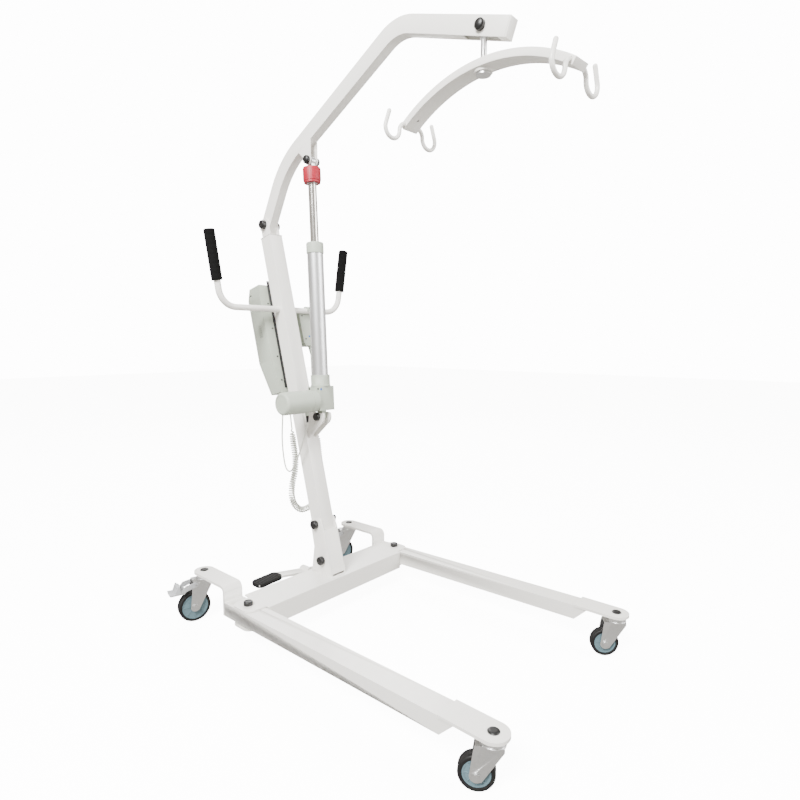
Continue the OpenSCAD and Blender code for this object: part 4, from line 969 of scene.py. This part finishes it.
def make_gearbox_details():
    """The gearbox's screws and flange, small marks on it and the handset, and a blank film."""
    head = [
        (0, 0), (3.4 * MM, 0), (3.4 * MM, 0.3 * MM), (1.6 * MM, 0.35 * MM), (1.4 * MM, -0.2 * MM),
        (0, -0.2 * MM)]
    screws = []
    for y in (-21, 21):
        for z in (27, 89):
            for x, flip in ((-29.2, True), (30.2, False)):
                place = ON_ACTUATOR @ along_x(x * MM, y * MM, z * MM, flip)
                screws.append(turned(head, place, 24))
    finished(joined(screws), "gearbox_screws", "actuator", "black_plastic")
    flange = [
        (25.1 * MM, 96 * MM), (31 * MM, 96 * MM), (31.4 * MM, 97 * MM), (31.4 * MM, 100 * MM),
        (30.4 * MM, 101 * MM), (25.1 * MM, 101 * MM)]
    finished(ring(flange, ON_ACTUATOR, 64), "gearbox_flange", "actuator", "grey_plastic")
    dot = [(0, 0), (3.6 * MM, 0), (3.4 * MM, 0.5 * MM), (0, 0.6 * MM)]
    facing = Matrix.Rotation(math.pi / 2, 4, "X")
    front = ON_ACTUATOR @ Matrix.Translation((-23 * MM, -28 * MM, 88 * MM)) @ facing
    finished(turned(dot, front, 32), "gearbox_mark", "actuator", "grey_plastic", look="blue_mark")
    back = ON_MAST @ Matrix.Translation(Vector((98, 13, 792)) * MM) @ facing
    finished(turned(dot, back, 32), "handset_mark", "frame", "grey_plastic", look="blue_mark")
    film = block((30.1 * MM, -20 * MM, 40 * MM), (30.4 * MM, 20 * MM, 76 * MM), 0.0001, ON_ACTUATOR, 1)
    finished(film, "gearbox_notice", "actuator", "grey_plastic", look="label_film")


def make_motor():
    """The motor housing: a drum with one groove, a stepped round end and a cord boss."""
    sideways = Matrix.Rotation(math.radians(-90), 4, "Y")
    base = ON_ACTUATOR @ Matrix.Translation((-29.1 * MM, 0, 51 * MM)) @ sideways
    r, length = 35 * MM, 129 * MM
    profile = [
        (0, 0), (r - 1 * MM, 0), (r, 1 * MM), (r, 24 * MM), (r - 0.8 * MM, 24.4 * MM),
        (r - 0.8 * MM, 25.6 * MM), (r, 26 * MM), (r, length - 9 * MM)]
    profile += [
        (r - 8 * MM * (1 - math.cos(turn)), length - 9 * MM + 8.6 * MM * math.sin(turn))
        for turn in (k * math.pi / 12 for k in range(1, 7))]
    profile += [(r - 10 * MM, length - 0.4 * MM), (r - 10.6 * MM, length - 1.4 * MM), (0, length - 1.4 * MM)]
    parts = [turned(profile, base, 96)]
    boss = ON_ACTUATOR @ Matrix.Translation((-60 * MM, 0, 7.2 * MM))
    parts.append(turned([(0, 0), (5 * MM, 0), (6 * MM, 1 * MM), (6.4 * MM, 12 * MM), (0, 12 * MM)], boss, 32))
    finished(joined(parts), "motor_drum", "actuator", "grey_plastic", ["motor_case"])


# ---------- boom and bar ----------

ON_HANGER = (
    Matrix.Translation(Vector((0, -555.77, 1515.16)) * MM) @ Matrix.Rotation(math.radians(-5.3), 4, "Z"))
BAR_R = 448 * MM
BAR_HALF = 35


def bar_end(side, from_end):
    """Frame on the arch at a distance in millimetres from one end."""
    tilt = math.radians(side * (BAR_HALF - math.degrees(math.asin(from_end * MM / BAR_R))))
    place = (
        ON_HANGER @ Matrix.Translation((0, 0, -BAR_R)) @ Matrix.Rotation(tilt, 4, "X")
        @ Matrix.Translation((0, 0, BAR_R - 9 * MM)))
    return place if side > 0 else place @ Matrix.Rotation(math.pi, 4, "Z")


def make_boom():
    """The boom, its end cap and the hanger rod."""
    softened("boom", (size("boom_edge"), 3, longer(0.006)))
    softened("boom_cap", (0.0020, 3, longer(0.01)))
    softened("hanger_rod", (0.0008, 2, longer(0.01)))


def make_bar():
    """The spreader bar, its washer and the two bent rods that make four hooks."""
    softened("spreader_bar", (size("bar_edge"), 3, longer(0.0075)))
    washer = [
        (7.7 * MM, -25.2 * MM), (17 * MM, -25.2 * MM), (18 * MM, -26 * MM), (18 * MM, -29.2 * MM),
        (17 * MM, -30.2 * MM), (7.7 * MM, -30.2 * MM)]
    finished(ring(washer, ON_HANGER, 64), "bar_washer", "hanger", "zinc", smooth=40)
    bend = math.pi / 2
    curl = math.radians(200)
    lean = math.radians(20)
    tip = MM * Vector((
        68 + 25 * math.cos(lean) - 34 * math.sin(lean), 0,
        -22 + 25 * math.sin(lean) + 34 * math.cos(lean)))
    node = ["sling_hooks"]
    for side, name in ((1, "front"), (-1, "rear")):
        place = bar_end(side, 12) @ Matrix.Rotation(math.radians(-33.465), 4, "X")
        start = (
            place @ Matrix.Translation((-tip.x, 0, tip.z)) @ Matrix.Rotation(lean, 4, "Y")
            @ Matrix.Rotation(math.pi, 4, "X"))
        moves = [
            (34 * MM,), (curl, 25 * MM, True), (-bend, 22 * MM, True), (42 * MM,), (-bend, 22 * MM, True),
            (curl, 25 * MM, True), (34 * MM,)]
        parts = [drawn(round_section(11 * MM, 24), moves, start)]
        for s in (-1, 1):
            ball = bmesh.new()
            bmesh.ops.create_uvsphere(ball, u_segments=24, v_segments=12, radius=5.48 * MM)
            bmesh.ops.transform(
                ball, matrix=place @ Matrix.Translation((s * tip.x, 0, tip.z)), verts=ball.verts)
            parts.append(ball)
        finished(joined(parts), f"{name}_hook_rod", "bar", "paint", node)
        node = []


# ---------- control box and handset ----------

def make_box():
    """The control housing on its rail, with screws, stop button, vents and a blank film."""
    softened("control_case", (size("case_edge"), 4, longer(0.03)))
    softened("box_rail", (0.0008, 2, longer(0.02)))
    softened("case_screws")
    film = block((-30 * MM, 109 * MM, 745 * MM), (30 * MM, 110.9 * MM, 792 * MM), 0.0003, ON_MAST, 1)
    finished(film, "box_notice", "frame", "grey_plastic", look="label_film")
    stop = ON_MAST @ Matrix.Translation((0, 107 * MM, 909 * MM)) @ Matrix.Rotation(math.radians(-90), 4, "X")
    guard = [
        (9 * MM, -1 * MM), (14 * MM, -1 * MM), (13.4 * MM, 1.6 * MM), (12 * MM, 2.2 * MM),
        (9 * MM, 2.2 * MM)]
    finished(ring(guard, stop, 48), "stop_guard", "frame", "black_plastic")
    softened("stop_button", (0.0012, 3, longer(0.0005)))
    vents = []
    for s in (-1, 1):
        at = s * 66.2 * MM
        for z in range(800, 846, 7):
            low, high = (at - 0.5 * MM, 52 * MM, z * MM), (at + 0.5 * MM, 68 * MM, (z + 2) * MM)
            vents.append(block(low, high, 0.0004, ON_MAST, 1))
    for s in (-1, 1):
        at = s * 66.4 * MM
        vents.append(block(
            (at - 1.2 * MM, 74 * MM, 945 * MM), (at + 1.2 * MM, 92 * MM, 948 * MM), 0.0008, ON_MAST, 1))
    finished(joined(vents), "box_vents", "frame", "black_plastic")


def make_handset():
    """The handset's case, its two buttons and a blank film."""
    softened("handset_case", (size("handset_edge"), 3, longer(0.018)))
    for name in ("button_up", "button_down"):
        softened(name, (0.0010, 3, longer(0.0005)))
    hold = ON_MAST @ Matrix.Translation(Vector((101, 25, 759)) * MM)
    film = block((-19 * MM, 11.95 * MM, 34 * MM), (19 * MM, 12.2 * MM, 40 * MM), 0.0001, hold, 1)
    finished(film, "handset_notice", "frame", "grey_plastic", look="label_film")


# ---------- leg pedal ----------

PAD_FROM = 112 * MM
PAD_Y = 122 * MM
ROCKER = Matrix.Translation((0, 0, 84 * MM)) @ Matrix.Rotation(math.radians(10), 4, "Y")


def make_pedal():
    """The foot pedal's lever and its two ribbed pads."""
    softened("pedal_rocker", (0.0010, 2, longer(0.012)))
    node = ["pedal_pads"]
    for side, name in ((-1, "left"), (1, "right")):
        place = (
            ROCKER @ Matrix.Translation((side * PAD_FROM, PAD_Y, 0))
            @ Matrix.Rotation(side * math.radians(12), 4, "Y"))
        pad = place @ Matrix.Translation((side * 48.8 * MM, 0, 0))
        parts = [slab(93.4 * MM, 47.6 * MM, 15 * MM, -6.9 * MM, 7.4 * MM, 2.4 * MM, pad)]
        for k in range(-5, 6):
            x = k * 7.6 * MM
            half = (20.5 - (3.5 if abs(k) == 5 else 0)) * MM
            parts.append(block(
                (x - 1.7 * MM, -half, 6.8 * MM), (x + 1.7 * MM, half, 8.8 * MM), 0.7 * MM, pad))
        finished(joined(parts), f"{name}_ribbed_pad", "rocker", "pad_rubber", node)
        node = []


def make_links():
    """The tie rods, castor pins and the pieces inside the housings."""
    for node in ("tie_rod_left", "tie_rod_right"):
        softened(node)
    for node in ("left_castor_pins", "right_castor_pins", "spindle", "motor_core"):
        softened(node)
    for node in ("battery_pack", "circuit_boards"):
        softened(node, (0.0010, 2, longer(0.02)))


# ---------- stage ----------

CAMERA_AT = (-1.1977, -1.3338, 0.8555)
CAMERA_TURN = (84.20, -0.16, -49.11)
LENS = 25.52


def add_light(name, at, towards, width, power):
    """A soft square light that faces a point."""
    lamp = bpy.data.lights.new(name, "AREA")
    lamp.energy = power
    lamp.size = width
    piece = bpy.data.objects.new(name, lamp)
    piece.location = at
    piece.rotation_euler = (Vector(towards) - Vector(at)).to_track_quat("-Z", "Y").to_euler()
    bpy.context.scene.collection.objects.link(piece)


def make_stage():
    """The pale floor, the studio's light and the camera."""
    bm = bmesh.new()
    bmesh.ops.create_grid(bm, x_segments=1, y_segments=1, size=14)
    mesh = bpy.data.meshes.new("floor")
    bm.to_mesh(mesh)
    bm.free()
    mesh.materials.append(finish("studio_floor"))
    floor = bpy.data.objects.new("floor", mesh)
    floor.visible_diffuse = False
    floor.visible_glossy = False
    bpy.context.scene.collection.objects.link(floor)
    world = bpy.data.worlds.new("studio")
    world.use_nodes = True
    tree = world.node_tree
    soft = tree.nodes["Background"]
    soft.inputs["Strength"].default_value = 0.9
    soft.inputs["Color"].default_value = (1.0, 0.955, 0.89, 1)
    bright = tree.nodes.new("ShaderNodeBackground")
    bright.inputs["Color"].default_value = (1, 1, 1, 1)
    bright.inputs["Strength"].default_value = 14.0
    choice = tree.nodes.new("ShaderNodeMixShader")
    tree.links.new(tree.nodes.new("ShaderNodeLightPath").outputs["Is Camera Ray"], choice.inputs[0])
    tree.links.new(soft.outputs[0], choice.inputs[1])
    tree.links.new(bright.outputs[0], choice.inputs[2])
    tree.links.new(choice.outputs[0], tree.nodes["World Output"].inputs["Surface"])
    bpy.context.scene.world = world
    add_light("key_light", (-3.6, -1.2, 3.8), (0, -0.2, 0.7), 1.8, 760)
    add_light("fill_light", (1.6, -3.8, 2.0), (0, -0.2, 0.7), 2.4, 200)
    add_light("rim_light", (2.4, 2.6, 3.0), (0, -0.2, 0.9), 2.0, 150)
    camera = bpy.data.cameras.new("camera")
    camera.lens = LENS
    camera.sensor_width = 36
    piece = bpy.data.objects.new("camera", camera)
    piece.location = CAMERA_AT
    piece.rotation_euler = [math.radians(angle) for angle in CAMERA_TURN]
    bpy.context.scene.collection.objects.link(piece)
    bpy.context.scene.camera = piece


# ---------- add-on ----------

def length_property(name, description, millimetres):
    """A length that the panel shows."""
    return bpy.props.FloatProperty(
        name=name, description=description, unit="LENGTH", min=0.0, precision=4,
        default=millimetres * MM)


def colour_property(name, default):
    """A colour that the panel shows."""
    return bpy.props.FloatVectorProperty(
        name=name, description=f"Base colour of the {name.lower()}", subtype="COLOR", size=3,
        min=0.0, max=1.0, default=default)


class HoistSizes(bpy.types.PropertyGroup):
    """Sizes of the hoist's details"""

    cord_diameter: length_property("Cord diameter", "Thickness of both cords", 5)
    curl_radius: length_property(
        "Curl radius", "From the middle of the curls to the middle of the cord", 8.3)
    curl_pitch: length_property("Curl pitch", "Distance from one curl to the next", 7.6)
    tube_edge: length_property("Tube edge", "Rounding of the mast's and the legs' edges", 1)
    bracket_edge: length_property(
        "Bracket edge", "Rounding of the crossbar's and the mast foot's edges", 1.1)
    boom_edge: length_property("Boom edge", "Rounding of the boom's edges", 2.2)
    bar_edge: length_property("Bar edge", "Rounding of the spreader bar's edges", 2.4)
    case_edge: length_property("Housing edge", "Rounding of the gearbox's and the control box's edges", 4.2)
    handset_edge: length_property("Handset edge", "Rounding of the handset's edges", 3)
    grip_radius: length_property("Grip radius", "Radius of the foam grips", 16.4)
    weld_radius: length_property("Weld radius", "Radius of the legs' weld beads", 2.2)
    thin_weld_radius: length_property("Thin weld radius", "Radius of the mast's finer weld beads", 1.6)


class HoistColours(bpy.types.PropertyGroup):
    """Colours of the hoist's materials"""

    paint: colour_property("Powder coat", (0.84, 0.825, 0.785))
    housing: colour_property("Housings", (0.425, 0.465, 0.395))
    caps: colour_property("Black caps", (0.0022, 0.0022, 0.0025))
    hubs: colour_property("Wheel centres", (0.115, 0.185, 0.215))
    pedals: colour_property("Brake pedals", (0.42, 0.43, 0.44))
    collar: colour_property("Lowering collar", (0.33, 0.002, 0.018))
    stop: colour_property("Stop button", (0.6, 0.02, 0.02))
    cord: colour_property("Cords", (0.6, 0.61, 0.55))
    marks: colour_property("Marks", (0.03, 0.12, 0.42))
    label: colour_property("Blank notices", (0.78, 0.79, 0.8))


class HOIST_OT_cords(bpy.types.Operator):
    """Build the cords"""

    bl_idname = "hoist.cords"
    bl_label = "Cords"

    def execute(self, context):
        make_cords()
        return {"FINISHED"}


class HOIST_OT_stage(bpy.types.Operator):
    """Build the stage and camera"""

    bl_idname = "hoist.stage"
    bl_label = "Stage and camera"

    def execute(self, context):
        make_stage()
        return {"FINISHED"}


class HOIST_OT_frame(bpy.types.Operator):
    """Build the base and mast"""

    bl_idname = "hoist.frame"
    bl_label = "Base and mast"

    def execute(self, context):
        make_frame()
        return {"FINISHED"}


class HOIST_OT_wheels(bpy.types.Operator):
    """Build the castors"""

    bl_idname = "hoist.wheels"
    bl_label = "Castors"

    def execute(self, context):
        make_wheels()
        return {"FINISHED"}


class HOIST_OT_brakes(bpy.types.Operator):
    """Build the brake pedals"""

    bl_idname = "hoist.brakes"
    bl_label = "Brake pedals"

    def execute(self, context):
        make_brakes()
        return {"FINISHED"}


class HOIST_OT_caps(bpy.types.Operator):
    """Build the caps and bolts"""

    bl_idname = "hoist.caps"
    bl_label = "Caps and bolts"

    def execute(self, context):
        make_caps()
        return {"FINISHED"}


class HOIST_OT_handle(bpy.types.Operator):
    """Build the push handle"""

    bl_idname = "hoist.handle"
    bl_label = "Push handle"

    def execute(self, context):
        make_handle()
        return {"FINISHED"}


class HOIST_OT_actuator(bpy.types.Operator):
    """Build the actuator"""

    bl_idname = "hoist.actuator"
    bl_label = "Actuator"

    def execute(self, context):
        make_actuator()
        return {"FINISHED"}


class HOIST_OT_boom(bpy.types.Operator):
    """Build the boom and hanger"""

    bl_idname = "hoist.boom"
    bl_label = "Boom and hanger"

    def execute(self, context):
        make_boom()
        return {"FINISHED"}


class HOIST_OT_bar(bpy.types.Operator):
    """Build the spreader bar and hooks"""

    bl_idname = "hoist.bar"
    bl_label = "Spreader bar and hooks"

    def execute(self, context):
        make_bar()
        return {"FINISHED"}


class HOIST_OT_box(bpy.types.Operator):
    """Build the control box"""

    bl_idname = "hoist.box"
    bl_label = "Control box"

    def execute(self, context):
        make_box()
        return {"FINISHED"}


class HOIST_OT_handset(bpy.types.Operator):
    """Build the handset"""

    bl_idname = "hoist.handset"
    bl_label = "Handset"

    def execute(self, context):
        make_handset()
        return {"FINISHED"}


class HOIST_OT_pedal(bpy.types.Operator):
    """Build the leg pedal"""

    bl_idname = "hoist.pedal"
    bl_label = "Leg pedal"

    def execute(self, context):
        make_pedal()
        return {"FINISHED"}


class HOIST_OT_links(bpy.types.Operator):
    """Build the tie rods and inner parts"""

    bl_idname = "hoist.links"
    bl_label = "Tie rods and inner parts"

    def execute(self, context):
        make_links()
        return {"FINISHED"}


STEPS = [
    HOIST_OT_cords, HOIST_OT_stage, HOIST_OT_frame, HOIST_OT_wheels,
    HOIST_OT_brakes, HOIST_OT_caps, HOIST_OT_handle, HOIST_OT_actuator,
    HOIST_OT_boom, HOIST_OT_bar, HOIST_OT_box, HOIST_OT_handset,
    HOIST_OT_pedal, HOIST_OT_links,
]


class HOIST_PT_panel(bpy.types.Panel):
    """Steps that build the hoist"""

    bl_label = "Patient Hoist"
    bl_idname = "HOIST_PT_panel"
    bl_space_type = "VIEW_3D"
    bl_region_type = "UI"
    bl_category = "Hoist"

    def draw(self, context):
        for step in STEPS:
            self.layout.operator(step.bl_idname)
        for key in HoistSizes.__annotations__:
            self.layout.prop(context.scene.hoist_sizes, key)
        for key in HoistColours.__annotations__:
            self.layout.prop(context.scene.hoist_colours, key)


CLASSES = [HoistSizes, HoistColours, HOIST_PT_panel] + STEPS


def register():
    for kind in CLASSES:
        bpy.utils.register_class(kind)
    bpy.types.Scene.hoist_sizes = bpy.props.PointerProperty(type=HoistSizes)
    bpy.types.Scene.hoist_colours = bpy.props.PointerProperty(type=HoistColours)


def unregister():
    del bpy.types.Scene.hoist_colours
    del bpy.types.Scene.hoist_sizes
    for kind in reversed(CLASSES):
        bpy.utils.unregister_class(kind)


def main():
    register()
    for step in STEPS:
        family, key = step.bl_idname.split(".")
        getattr(getattr(bpy.ops, family), key)()


if __name__ == "__main__":
    main()
